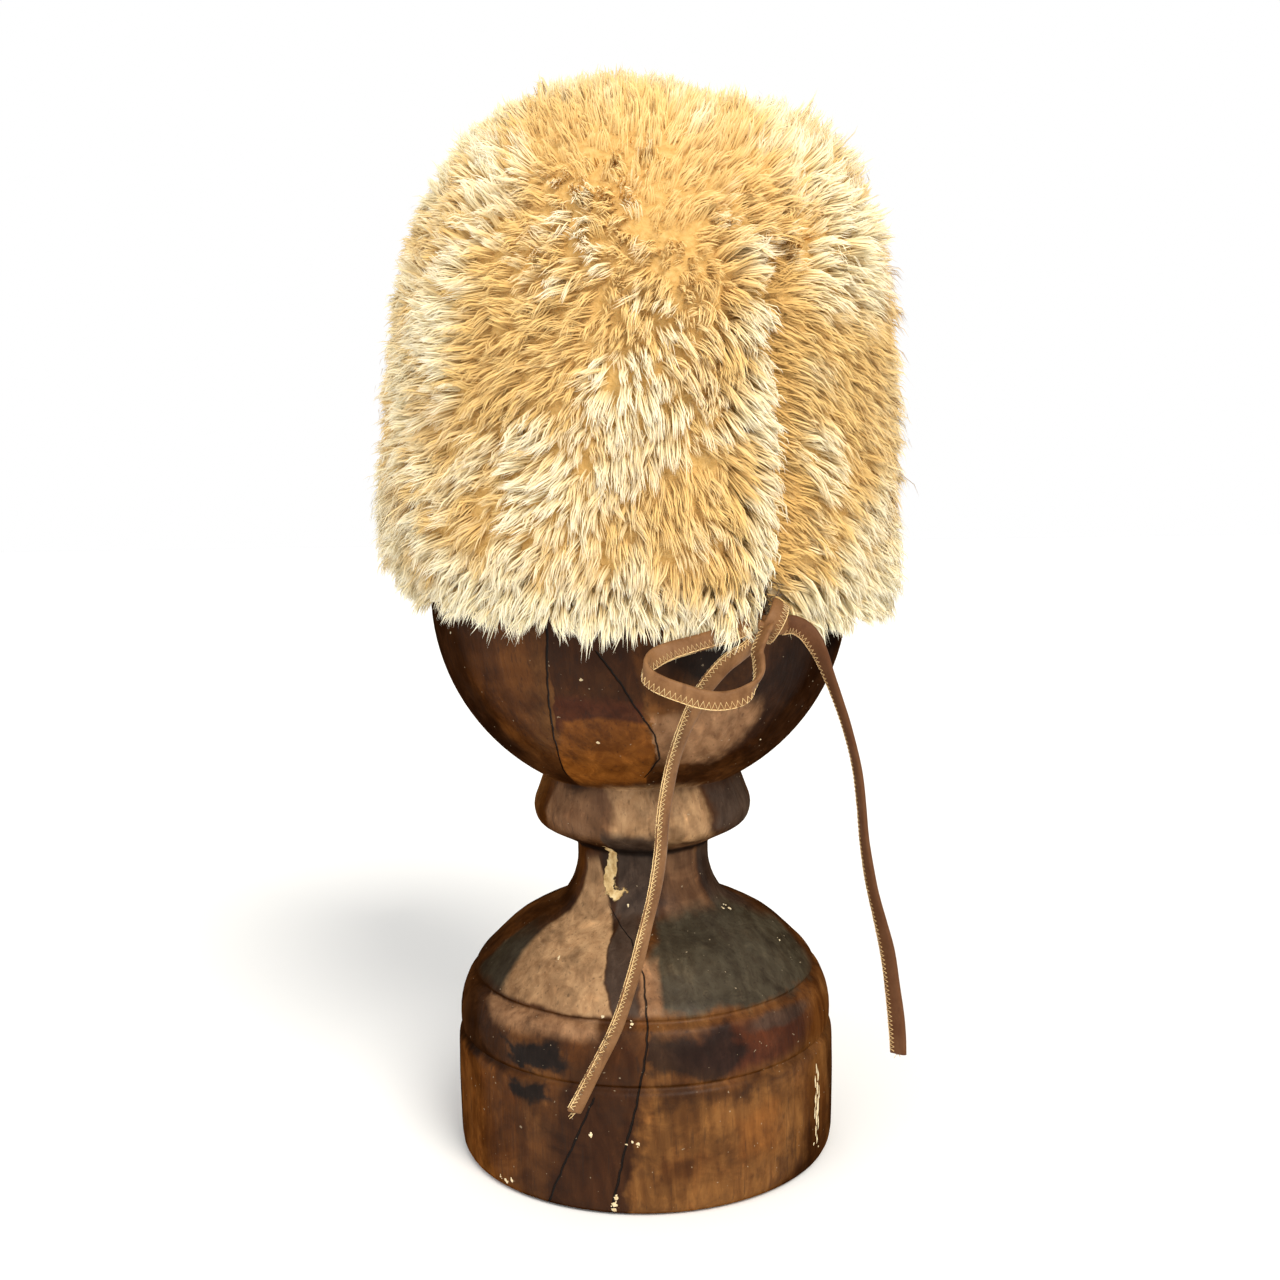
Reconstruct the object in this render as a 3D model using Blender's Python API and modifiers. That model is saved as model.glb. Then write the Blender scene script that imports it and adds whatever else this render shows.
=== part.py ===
"""A faux fur hat with leather ties, sitting on a turned wooden stand.

Metres, +Z up. The origin is the centre of the stand's foot, and the tied slit
is to the front right, seen along +Y.
"""

import math
import random

import bmesh
import bpy
from mathutils import Matrix, Vector

# Stand, from the floor up
BASE_RADIUS = 0.085
BASE_TALL = 0.112
NECK_RADIUS = 0.0293
NECK_TALL = 0.028
COLLAR_RADIUS = 0.0485
COLLAR_TALL = 0.031
BALL_RADIUS = 0.0915
TURNING_STEPS = 40

# Hat
WALL_THICK = 0.003
FIT_GAP = 0.0003
RIM_ABOVE_BALL_CENTRE = 0.001
RIM_SLANT = 0.0055
CROWN_TALL = 0.1945
SKIN_THICK = 0.0015
SKIN_GAP = 0.0009
PILE = 0.018
LOCK_VARIATION = 0.10
LOCK_WAVES = 3
LOCK_WIDE = 0.0138
TIP_SEAM_SHARE = 0.56
PANEL_GAP = 0.0009

# Slit at the foot of the back seam
SLIT_ANGLE = math.radians(28.0)
SLIT_TALL = 0.028
SLIT_WIDE = 0.016
SLIT_STEPS = 2

# Ties
STRAP_WIDE = 0.007
STRAP_THICK = 0.0025
KNOT_WIDE = 0.0135
KNOT_DEEP = 0.0095
KNOT_TALL = 0.0125
KNOT_REACH = 0.0135
KNOT_DROP = 0.0012
KNOT_TURN = math.radians(8.0)
STRAP_STRAIGHT = 0.0025
TIE_GAP = 0.0003

COLLAR_TOP = BASE_TALL + NECK_TALL + COLLAR_TALL
INNER_RADIUS = BALL_RADIUS + FIT_GAP

# Turned outline of the base, as shares of its height and radius
BASE_OUTLINE = [
    # height, radius
    (0.000, 0.970),
    (0.022, 0.990),
    (0.080, 0.999),
    (0.300, 1.003),
    (0.440, 1.000),
    (0.478, 0.992),
    (0.496, 0.973),
    (0.514, 0.985),
    (0.580, 0.985),
    (0.650, 0.965),
    (0.700, 0.940),
    (0.724, 0.905),
    (0.745, 0.900),
    (0.800, 0.838),
    (0.850, 0.772),
    (0.900, 0.697),
    (0.950, 0.580),
    (1.000, 0.448),
]

# Neck: share of its height, and how much of the shoulder's extra width is left
NECK_OUTLINE = [
    # height, widening
    (0.20, 0.49),
    (0.40, 0.19),
    (0.62, 0.03),
    (0.82, 0.00),
]

# Collar ring, as shares of its height and radius
COLLAR_OUTLINE = [
    # height, radius
    (0.00, 0.625),
    (0.12, 0.760),
    (0.24, 0.905),
    (0.38, 0.980),
    (0.52, 1.000),
    (0.70, 0.970),
    (0.86, 0.930),
    (1.00, 0.900),
]

# Inside of the crown from the rim to the top, as shares of the crown's height and the rim's radius
CROWN_OUTLINE = [
    # height, radius
    (0.000, 1.000),
    (0.120, 1.003),
    (0.245, 0.999),
    (0.365, 0.986),
    (0.475, 0.974),
    (0.575, 0.951),
    (0.655, 0.925),
    (0.730, 0.882),
    (0.790, 0.827),
    (0.840, 0.768),
    (0.880, 0.706),
    (0.915, 0.628),
    (0.945, 0.527),
    (0.968, 0.404),
    (0.987, 0.245),
    (1.000, 0.000),
]

# How the locks stand, from the rim to the top, as shares of the pile
LOCK_LEAN = [
    # share of the way up, out, down, sway to either side
    (0.00, 0.50, 0.90, 0.10),
    (0.05, 0.76, 0.96, 0.16),
    (0.10, 0.96, 0.92, 0.22),
    (0.30, 1.00, 0.80, 0.30),
    (0.55, 1.00, 0.62, 0.30),
    (0.80, 1.00, 0.30, 0.20),
    (1.00, 1.00, 0.00, 0.00),
]

# Where the straps meet the knot, as shares of half its size, and which way they leave it there
LEAD_END = [(0.00, 1.00, 0.00), (0.0, 1.0, 0.0)]
LOOP_START = [(-1.00, 0.05, 0.05), (-1.0, 0.0, 0.0)]
LOOP_END = [(-0.52, -1.00, -0.08), (0.0, -1.0, 0.0)]
LEFT_START = [(-0.85, 0.00, -0.84), (-0.7, 0.0, -0.7)]
RIGHT_START = [(1.00, 0.00, 0.00), (1.0, 0.0, 0.0)]

# Routes of the loose straps, with the direction that each strap's width takes
LOOP_ROUTE = [
    # x, y, z, width x, width y, width z
    (0.0349, -0.1045, 0.2470, 0.05, 0.60, 0.80),
    (0.0234, -0.1070, 0.2441, 0.00, 0.58, 0.81),
    (0.0120, -0.1085, 0.2411, 0.00, 0.48, 0.88),
    (0.0055, -0.1105, 0.2384, 0.08, 0.25, 0.96),
    (0.0019, -0.1145, 0.2355, 0.16, -0.10, 0.98),
    (0.0032, -0.1185, 0.2326, 0.10, 0.05, 0.99),
    (0.0079, -0.1212, 0.2300, 0.02, 0.15, 0.98),
    (0.0153, -0.1223, 0.2271, 0.00, 0.18, 0.98),
    (0.0226, -0.1223, 0.2247, 0.00, 0.20, 0.98),
    (0.0301, -0.1212, 0.2238, 0.00, 0.22, 0.97),
    (0.0376, -0.1190, 0.2252, 0.06, 0.02, 0.97),
    (0.0425, -0.1160, 0.2286, 0.30, -0.42, 0.80),
    (0.0446, -0.1128, 0.2326, 0.40, -0.80, 0.45),
    (0.0447, -0.1100, 0.2370, 0.45, -0.87, 0.15),
    (0.0445, -0.1078, 0.2409, 0.45, -0.88, 0.05),
]
LEFT_ROUTE = [
    (0.0390, -0.1005, 0.2385, 0.50, 0.70, -0.50),
    (0.0335, -0.1042, 0.2355, 0.70, 0.42, -0.58),
    (0.0282, -0.1045, 0.2300, 0.78, 0.30, -0.54),
    (0.0232, -0.1015, 0.2225, 0.76, 0.48, -0.43),
    (0.0168, -0.0995, 0.2090, 0.66, 0.68, -0.30),
    (0.0118, -0.0980, 0.1935, 0.64, 0.74, -0.20),
    (0.0085, -0.0972, 0.1760, 0.64, 0.76, -0.11),
    (0.0070, -0.0965, 0.1590, 0.64, 0.76, -0.07),
    (0.0042, -0.0962, 0.1420, 0.64, 0.75, -0.12),
    (0.0005, -0.0960, 0.1270, 0.64, 0.74, -0.17),
    (-0.0045, -0.0960, 0.1080, 0.66, 0.72, -0.21),
    (-0.0108, -0.0960, 0.0890, 0.68, 0.69, -0.27),
    (-0.0196, -0.0960, 0.0705, 0.70, 0.63, -0.35),
    (-0.0291, -0.0962, 0.0522, 0.72, 0.55, -0.40),
]
RIGHT_ROUTE = [
    (0.0645, -0.0975, 0.2450, 0.50, 0.36, 0.80),
    (0.0687, -0.0990, 0.2385, 0.66, -0.15, 0.65),
    (0.0720, -0.0990, 0.2300, 0.62, -0.60, 0.40),
    (0.0758, -0.0980, 0.2195, 0.42, -0.89, 0.18),
    (0.0800, -0.0965, 0.2070, 0.30, -0.95, 0.08),
    (0.0838, -0.0945, 0.1920, 0.28, -0.96, 0.04),
    (0.0860, -0.0930, 0.1760, 0.28, -0.96, 0.00),
    (0.0876, -0.0920, 0.1600, 0.32, -0.94, 0.00),
    (0.0903, -0.0910, 0.1440, 0.42, -0.90, 0.06),
    (0.0942, -0.0902, 0.1280, 0.55, -0.82, 0.12),
    (0.0976, -0.0900, 0.1130, 0.68, -0.72, 0.14),
    (0.1000, -0.0900, 0.0960, 0.78, -0.62, 0.10),
    (0.1016, -0.0900, 0.0800, 0.82, -0.56, 0.08),
    (0.1021, -0.0900, 0.0722, 0.82, -0.56, 0.06),
]

WOOD_COLOUR = (0.095, 0.035, 0.014)
FUR_COLOUR = (0.72, 0.47, 0.20)
CLOTH_COLOUR = (0.50, 0.38, 0.22)
LEATHER_COLOUR = (0.24, 0.105, 0.038)


def clear_scene():
    for thing in list(bpy.data.objects):
        bpy.data.objects.remove(thing, do_unlink=True)


def new_material(name, colour, roughness):
    material = bpy.data.materials.new(name)
    material.use_nodes = True
    shader = material.node_tree.nodes["Principled BSDF"]
    shader.inputs["Base Color"].default_value = (*colour, 1.0)
    shader.inputs["Roughness"].default_value = roughness
    shader.inputs["Metallic"].default_value = 0.0
    return material


def keep(thing, material, collection):
    """Gives an object its material and files it in the hat's collection."""
    thing.data.materials.append(material)
    for other in list(thing.users_collection):
        other.objects.unlink(thing)
    collection.objects.link(thing)
    return thing


def between(table, at, column):
    """The value of a table's column at this place in its first column."""
    for low, high in zip(table, table[1:]):
        if at <= high[0]:
            part = max(0.0, (at - low[0]) / (high[0] - low[0]))
            return low[column] + (high[column] - low[column]) * part
    return table[-1][column]


def through(points, steps):
    """Points along a smooth curve that passes through all of these, steps to each stretch."""
    ends = [points[0] * 2 - points[1]] + points + [points[-1] * 2 - points[-2]]
    found = []
    for i in range(1, len(ends) - 2):
        a, b, c, d = ends[i - 1 : i + 3]
        for step in range(steps):
            t = step / steps
            found.append(
                0.5 * (2 * b + (c - a) * t + (2 * a - 5 * b + 4 * c - d) * t**2 + (3 * b - a - 3 * c + d) * t**3)
            )
    return found + [points[-1]]


def lengths_along(points):
    """How far along the line each of its points lies."""
    found = [0.0]
    for a, b in zip(points, points[1:]):
        found.append(found[-1] + (b - a).length)
    return found


def ball_centre_height():
    """The ball sinks into the collar until their outlines meet."""
    seat = COLLAR_RADIUS * COLLAR_OUTLINE[-1][1]
    return COLLAR_TOP + math.sqrt(BALL_RADIUS**2 - seat**2)


def stand_outline():
    """Radius and height down the stand's side, from the top of the ball to the middle of the foot."""
    centre = ball_centre_height()
    shoulder = BASE_RADIUS * BASE_OUTLINE[-1][1]
    points = [(BASE_RADIUS * r, BASE_TALL * h) for h, r in BASE_OUTLINE]
    for h, widening in NECK_OUTLINE:
        radius = NECK_RADIUS + (shoulder - NECK_RADIUS) * widening
        points.append((radius, BASE_TALL + NECK_TALL * h))
    for h, r in COLLAR_OUTLINE:
        points.append((COLLAR_RADIUS * r, BASE_TALL + NECK_TALL + COLLAR_TALL * h))
    lowest = math.atan2(COLLAR_TOP - centre, points[-1][0])
    arcs = 13
    for step in range(1, arcs):
        angle = lowest + (math.pi / 2 - lowest) * step / arcs
        points.append((BALL_RADIUS * math.cos(angle), centre + BALL_RADIUS * math.sin(angle)))
    points.append((0.0, centre + BALL_RADIUS))
    points.reverse()
    return points + [(0.0, 0.0)]


def turned(name, outline, material, collection):
    """A solid of revolution: its outline with a Screw modifier."""
    mesh = bpy.data.meshes.new(name)
    edges = [(i, i + 1) for i in range(len(outline) - 1)]
    mesh.from_pydata([(r, 0.0, h) for r, h in outline], edges, [])
    thing = bpy.data.objects.new(name, mesh)
    keep(thing, material, collection)
    screw = thing.modifiers.new("Turning", "SCREW")
    screw.axis = "Z"
    screw.steps = TURNING_STEPS
    screw.render_steps = TURNING_STEPS
    screw.use_merge_vertices = True
    screw.merge_threshold = 0.00001
    screw.use_smooth_shade = True
    return thing


class Crown:
    """The inside surface of the crown, read by angle and by length up from the rim."""

    def __init__(self):
        self.rim = ball_centre_height() + RIM_ABOVE_BALL_CENTRE
        rows = [Vector((INNER_RADIUS * r, self.rim + CROWN_TALL * h)) for h, r in CROWN_OUTLINE]
        self.points = through(rows, 8)
        self.lengths = lengths_along(self.points)
        self.tall = self.lengths[-1]

    def section(self, length):
        """Radius, height and outward direction at this length up from the level rim."""
        if length <= 0.0:
            return Vector((INNER_RADIUS, self.rim + length)), Vector((1.0, 0.0))
        i = 1
        while i < len(self.points) - 1 and self.lengths[i] < length:
            i += 1
        low, high = self.points[i - 1], self.points[i]
        part = min(1.0, (length - self.lengths[i - 1]) / (self.lengths[i] - self.lengths[i - 1]))
        before = self.points[max(0, i - 2)]
        after = self.points[min(len(self.points) - 1, i + 1)]
        along = (high - before).normalized().lerp((after - low).normalized(), part).normalized()
        outward = Vector((along.y, -along.x))
        if i == len(self.points) - 1:
            outward = outward.lerp(Vector((0.0, 1.0)), part).normalized()
        return low.lerp(high, part), outward

    def rim_length(self, angle):
        """Where the slanted rim lies at this angle, which is 0 at the front and a quarter turn at +X."""
        return -RIM_SLANT * math.sin(angle)

    def place(self, angle, length, offset):
        """The point this far outside the surface, and the outward and upward directions there."""
        at, out = self.section(length)
        at = at + out * offset
        side = Vector((math.sin(angle), -math.cos(angle), 0.0))
        up = Vector((0.0, 0.0, 1.0))
        return side * at.x + up * at.y, side * out.x + up * out.y, up * out.x - side * out.y


def slab(columns, rows, locks):
    """A flat plate of square cells from 0 to columns and 0 to rows, its faces at heights 0 and 1.

    Where locks is set, each cell of the upper face is a pyramid whose point is at height 2.
    """
    mesh = bmesh.new()
    bmesh.ops.create_grid(mesh, x_segments=columns, y_segments=rows, size=1.0)
    for vertex in mesh.verts:
        vertex.co.x = round((vertex.co.x + 1) / 2 * columns)
        vertex.co.y = round((vertex.co.y + 1) / 2 * rows)
    made = bmesh.ops.extrude_face_region(mesh, geom=mesh.faces[:], use_keep_orig=True)["geom"]
    upper = [item for item in made if isinstance(item, bmesh.types.BMFace)]
    for vertex in {corner for face in upper for corner in face.verts}:
        vertex.co.z = 1.0
    if locks:
        for vertex in bmesh.ops.poke(mesh, faces=upper)["verts"]:
            vertex.co.z = 2.0
    return mesh


def drop_faces(mesh, closes):
    """Removes the faces whose corners all pass this test, where two edges of the plate will meet."""
    faces = [face for face in mesh.faces if all(closes(corner.co) for corner in face.verts)]
    bmesh.ops.delete(mesh, geom=faces, context="FACES")


def finish(mesh, name, material, collection):
    """Merges the plate's meeting edges and makes the object."""
    bmesh.ops.remove_doubles(mesh, verts=mesh.verts[:], dist=0.00001)
    bmesh.ops.recalc_face_normals(mesh, faces=mesh.faces[:])
    data = bpy.data.meshes.new(name)
    mesh.to_mesh(data)
    mesh.free()
    return keep(bpy.data.objects.new(name, data), material, collection)


def lock_tip(crown, angle, length, offset, share, size):
    """Where a lock's point lies: out from the skin, leaning down and swaying in waves round the crown."""
    base, out, up = crown.place(angle, length, offset)
    side = Vector((math.cos(angle), math.sin(angle), 0.0))
    lean = out * between(LOCK_LEAN, share, 1) - up * between(LOCK_LEAN, share, 2)
    wave = math.sin(LOCK_WAVES * (angle - SLIT_ANGLE) + 4 * share)
    return base + (lean + side * wave * between(LOCK_LEAN, share, 3)) * PILE * size


def wrapped(crown, name, columns, rows, top, inner, thick, locks, material, collection, seed):
    """A plate bent round the crown from the rim up to this length, open at the slit and joined above it."""
    closed_top = top >= crown.tall
    chance = random.Random(seed)
    mesh = slab(columns, rows, locks)
    drop_faces(mesh, lambda at: at.x in (0.0, columns) and at.y >= SLIT_STEPS)
    if closed_top:
        drop_faces(mesh, lambda at: at.y == rows)

    def length_at(row, rim):
        if row <= SLIT_STEPS:
            return rim + SLIT_TALL * row / SLIT_STEPS
        start = rim + SLIT_TALL
        return start + (top - start) * (row - SLIT_STEPS) / (rows - SLIT_STEPS)

    for vertex in mesh.verts:
        column, row, level = vertex.co
        opening = SLIT_WIDE / 2 / INNER_RADIUS * max(0.0, 1 - row / SLIT_STEPS)
        angle = SLIT_ANGLE + opening + (2 * math.pi - 2 * opening) * column / columns
        length = length_at(row, crown.rim_length(angle))
        if level < 1.5:
            vertex.co = crown.place(angle, length, inner + thick * level)[0]
        else:
            share = max(0.0, (row - 0.5) / (rows - 1)) * top / crown.tall
            size = 1 + LOCK_VARIATION * chance.uniform(-1, 1)
            vertex.co = lock_tip(crown, angle, length, inner + thick, share, size)
    if closed_top:
        for offset in (inner, inner + thick):
            peak = crown.place(0.0, crown.tall, offset)[0].z
            for vertex in mesh.verts:
                if abs(vertex.co.z - peak) < 1e-6 and vertex.co.xy.length < 1e-4:
                    vertex.co.xy = (0.0, 0.0)
    return finish(mesh, name, material, collection)


def domed(crown, name, cells, start, inner, thick, material, collection, seed):
    """A square plate of locks rounded into a disc and bent over the top of the crown, down to this length."""
    chance = random.Random(seed)
    mesh = slab(cells, cells, True)
    for vertex in mesh.verts:
        x, y, level = vertex.co
        x, y = 2 * x / cells - 1, 2 * y / cells - 1
        ring = max(abs(x), abs(y))
        angle = math.atan2(x, -y)
        length = crown.tall - (crown.tall - start) * ring
        if level < 1.5:
            vertex.co = crown.place(angle, length, inner + thick * level)[0]
        else:
            size = 1 + LOCK_VARIATION * chance.uniform(-1, 1)
            vertex.co = lock_tip(crown, angle, length, inner + thick, length / crown.tall, size)
    return finish(mesh, name, material, collection)


def strap(name, route, step, material, collection):
    """A flat strap with rounded edges: a curve through the route, tilted so that its width follows the table.

    Its first and last stretches stay straight, so that its ends are square to what they meet.
    """
    smooth = 8
    centres = through([Vector(row[:3]) for row in route], smooth)
    widths = through([Vector(row[3:]) for row in route], smooth)
    lengths = lengths_along(centres)
    start, end = lengths[smooth], lengths[-1 - smooth]
    count = max(1, round((end - start) / step))
    points, sides = [centres[0]], [widths[0]]
    i = 1
    for n in range(count + 1):
        at = start + (end - start) * n / count
        while i < len(lengths) - 1 and lengths[i] < at:
            i += 1
        part = (at - lengths[i - 1]) / (lengths[i] - lengths[i - 1])
        points.append(centres[i - 1].lerp(centres[i], part))
        sides.append(widths[i - 1].lerp(widths[i], part))
    points.append(centres[-1])
    sides.append(widths[-1])
    last = len(points) - 1
    curve = bpy.data.curves.new(name, "CURVE")
    curve.dimensions = "3D"
    curve.twist_mode = "Z_UP"
    curve.extrude = (STRAP_WIDE - STRAP_THICK) / 2
    curve.bevel_depth = STRAP_THICK / 2
    curve.bevel_resolution = 1
    curve.use_fill_caps = True
    spline = curve.splines.new("POLY")
    spline.points.add(last)
    for n, (point, side) in enumerate(zip(points, sides)):
        before = (point - points[max(0, n - 1)]).normalized()
        after = (points[min(last, n + 1)] - point).normalized()
        along = (before + after).normalized()
        level = along.to_track_quat("Z", "Y") @ Vector((0.0, 1.0, 0.0))
        across = (side - along * side.dot(along)).normalized()
        spline.points[n].co = (*point, 1.0)
        spline.points[n].tilt = math.atan2(level.cross(across).dot(along), level.dot(across))
    return keep(bpy.data.objects.new(name, curve), material, collection)


def knot_place(crown):
    """Where the knot sits, in front of the slit, and how it is turned."""
    low = crown.rim_length(SLIT_ANGLE) - KNOT_DROP
    centre = crown.place(SLIT_ANGLE, low, WALL_THICK + KNOT_REACH)[0]
    return Matrix.Translation(centre) @ Matrix.Rotation(KNOT_TURN, 4, "Z")


def lead_route(crown):
    """From between the ball and the slit's edges, down over the rim and out to the knot's back."""
    across = Vector((math.cos(SLIT_ANGLE), math.sin(SLIT_ANGLE), 0.0))
    lying = BALL_RADIUS + FIT_GAP + STRAP_THICK / 2 - INNER_RADIUS
    rim = crown.rim_length(SLIT_ANGLE)
    rows = [
        # share of the slit's height above the rim, share of the way out to the knot
        (0.44, 0.00),
        (0.26, 0.00),
        (0.10, 0.05),
        (0.01, 0.22),
    ]
    route = []
    for up, out in rows:
        point = crown.place(SLIT_ANGLE, rim + SLIT_TALL * up, lying + KNOT_REACH * out)[0]
        route.append((*point, *across))
    return route + at_knot(crown, LEAD_END, route[-1])[::-1]


def knot(crown, name, material, collection):
    """The tied knot, a cube rounded all over."""
    mesh = bmesh.new()
    bmesh.ops.create_cube(mesh, size=1.0)
    bmesh.ops.scale(mesh, vec=(KNOT_WIDE, KNOT_DEEP, KNOT_TALL), verts=mesh.verts[:])
    data = bpy.data.meshes.new(name)
    mesh.to_mesh(data)
    mesh.free()
    thing = keep(bpy.data.objects.new(name, data), material, collection)
    thing.matrix_world = knot_place(crown)
    rounding = thing.modifiers.new("Rounding", "BEVEL")
    rounding.width = KNOT_DEEP * 0.36
    rounding.segments = 3
    return thing


def at_knot(crown, where, row):
    """Two rows of a route, at the knot and a short way straight out of it, with the width of this row."""
    place = knot_place(crown)
    shares, direction = where
    outward = Vector(direction).normalized()
    face = Vector((KNOT_WIDE * shares[0], KNOT_DEEP * shares[1], KNOT_TALL * shares[2])) / 2
    rows = []
    for away in (TIE_GAP, TIE_GAP + STRAP_STRAIGHT):
        rows.append((*(place @ (face + outward * away)), *row[3:]))
    return rows


def build():
    clear_scene()
    collection = bpy.data.collections.new("faux_fur_hat_on_stand")
    bpy.context.scene.collection.children.link(collection)
    wood = new_material("wood", WOOD_COLOUR, 0.35)
    fur = new_material("fur", FUR_COLOUR, 0.9)
    cloth = new_material("cloth", CLOTH_COLOUR, 0.95)
    leather = new_material("leather", LEATHER_COLOUR, 0.6)

    turned("wooden_stand", stand_outline(), wood, collection)

    crown = Crown()
    around = 2 * math.pi * (INNER_RADIUS + WALL_THICK + SKIN_GAP + SKIN_THICK)
    columns = round(around / LOCK_WIDE)
    seam = crown.tall * TIP_SEAM_SHARE
    band_rows = SLIT_STEPS + round((seam - SLIT_TALL) / LOCK_WIDE * 1.12)
    tip_cells = 2 * round((crown.tall - seam) / LOCK_WIDE)
    skin_at = WALL_THICK + SKIN_GAP

    wrapped(crown, "crown_backing", columns, 15, crown.tall, 0.0, WALL_THICK, False, cloth, collection, 1)
    low = seam - PANEL_GAP / 2
    wrapped(crown, "fur_side_band", columns, band_rows, low, skin_at, SKIN_THICK, True, fur, collection, 2)
    domed(crown, "fur_crown_tip", tip_cells, seam + PANEL_GAP / 2, skin_at, SKIN_THICK, fur, collection, 3)

    strap("tie_lead", lead_route(crown), 0.004, leather, collection)
    knot(crown, "tie_knot", leather, collection)
    loop = at_knot(crown, LOOP_START, LOOP_ROUTE[0]) + LOOP_ROUTE
    loop += reversed(at_knot(crown, LOOP_END, LOOP_ROUTE[-1]))
    left = at_knot(crown, LEFT_START, LEFT_ROUTE[0]) + LEFT_ROUTE
    right = at_knot(crown, RIGHT_START, RIGHT_ROUTE[0]) + RIGHT_ROUTE
    strap("tie_bow_loop", loop, 0.0042, leather, collection)
    strap("tie_left_tail", left, 0.0105, leather, collection)
    strap("tie_right_tail", right, 0.0105, leather, collection)


build()
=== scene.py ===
"""A faux fur hat with leather ties, on a turned wooden stand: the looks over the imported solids.

Metres, +Z up, the front along -Y. An angle round the object is 0 at the front and a quarter turn at +X.
"""

import math

import bmesh
import bpy
import numpy as np
from mathutils import Matrix, Vector, noise
from mathutils.kdtree import KDTree


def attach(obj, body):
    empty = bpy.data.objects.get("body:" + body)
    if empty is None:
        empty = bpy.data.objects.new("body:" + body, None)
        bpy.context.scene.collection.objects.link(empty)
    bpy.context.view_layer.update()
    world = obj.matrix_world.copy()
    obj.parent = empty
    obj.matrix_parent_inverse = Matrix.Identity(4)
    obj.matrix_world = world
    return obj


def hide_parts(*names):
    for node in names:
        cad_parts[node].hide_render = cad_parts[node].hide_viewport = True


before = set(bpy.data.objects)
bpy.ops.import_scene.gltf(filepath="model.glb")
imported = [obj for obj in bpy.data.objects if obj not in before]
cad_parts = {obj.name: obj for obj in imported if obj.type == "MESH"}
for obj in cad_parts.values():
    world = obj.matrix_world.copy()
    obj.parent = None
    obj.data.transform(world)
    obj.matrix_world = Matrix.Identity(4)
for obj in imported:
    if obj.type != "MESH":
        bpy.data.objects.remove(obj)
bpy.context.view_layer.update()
scene = bpy.context.scene
chance = np.random.default_rng(28)
noise.seed_set(5)


# ---- Plain helpers


def unit(v):
    return v / np.maximum(np.linalg.norm(v, axis=-1, keepdims=True), 1e-12)


def through(points, steps):
    """Points along a smooth curve that passes through all of these, steps to each stretch."""
    p = np.asarray(points, float)
    ends = np.vstack([2 * p[0] - p[1], p, 2 * p[-1] - p[-2]])
    t = np.arange(steps)[:, None] / steps
    found = []
    for a, b, c, d in zip(ends, ends[1:], ends[2:], ends[3:]):
        found.append(0.5 * (2 * b + (c - a) * t + (2 * a - 5 * b + 4 * c - d) * t**2 + (3 * b - a - 3 * c + d) * t**3))
    return np.vstack(found + [p[-1:]])


def lengths_along(points):
    return np.concatenate([[0.0], np.cumsum(np.linalg.norm(np.diff(points, axis=0), axis=1))])


def even(points, step):
    """The same line with points this far apart. Columns after the third are carried along."""
    at = lengths_along(points[:, :3])
    want = np.linspace(0.0, at[-1], max(2, round(at[-1] / step) + 1))
    return np.column_stack([np.interp(want, at, points[:, k]) for k in range(points.shape[1])])


def mesh_of(name, points, corners, starts, slots=None):
    """A mesh from flat arrays: points, the faces' corners, and where each face's corners start."""
    mesh = bpy.data.meshes.new(name)
    mesh.vertices.add(len(points))
    mesh.vertices.foreach_set("co", np.asarray(points, np.float32).ravel())
    mesh.loops.add(len(corners))
    mesh.loops.foreach_set("vertex_index", np.asarray(corners, np.int32))
    mesh.polygons.add(len(starts))
    mesh.polygons.foreach_set("loop_start", np.asarray(starts, np.int32))
    if slots is not None:
        mesh.polygons.foreach_set("material_index", np.asarray(slots, np.int32))
    mesh.update(calc_edges=True)
    return mesh


class Builder:
    """Collects points and faces of several parts of one mesh, each face with a material slot."""

    def __init__(self):
        self.points, self.corners, self.starts, self.slots = [], [], [], []
        self.count, self.loops = 0, 0

    def add(self, points, faces, slot=0):
        self.points.append(np.asarray(points, float))
        for face in faces:
            self.starts.append(self.loops)
            self.corners.extend(int(i) + self.count for i in face)
            self.loops += len(face)
            self.slots.append(slot)
        self.count += len(points)

    def mesh(self, name):
        return mesh_of(name, np.vstack(self.points), self.corners, self.starts, self.slots)


def ring_faces(rings, around, closed_ends=True, closed_round=False):
    """Faces of a tube whose points come ring by ring."""
    faces = []
    last = rings if closed_round else rings - 1
    for i in range(last):
        a, b = i * around, (i + 1) % rings * around
        for k in range(around):
            n = (k + 1) % around
            faces.append((a + k, a + n, b + n, b + k))
    if closed_ends and not closed_round:
        faces.append(tuple(range(around))[::-1])
        faces.append(tuple((rings - 1) * around + k for k in range(around)))
    return faces


def piece(name, mesh, materials, slot, *nodes):
    for material in materials:
        mesh.materials.append(material)
    thing = bpy.data.objects.new(name, mesh)
    scene.collection.objects.link(thing)
    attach(thing, "root")
    if nodes:
        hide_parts(*nodes)
    return thing


# ---- Materials


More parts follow.
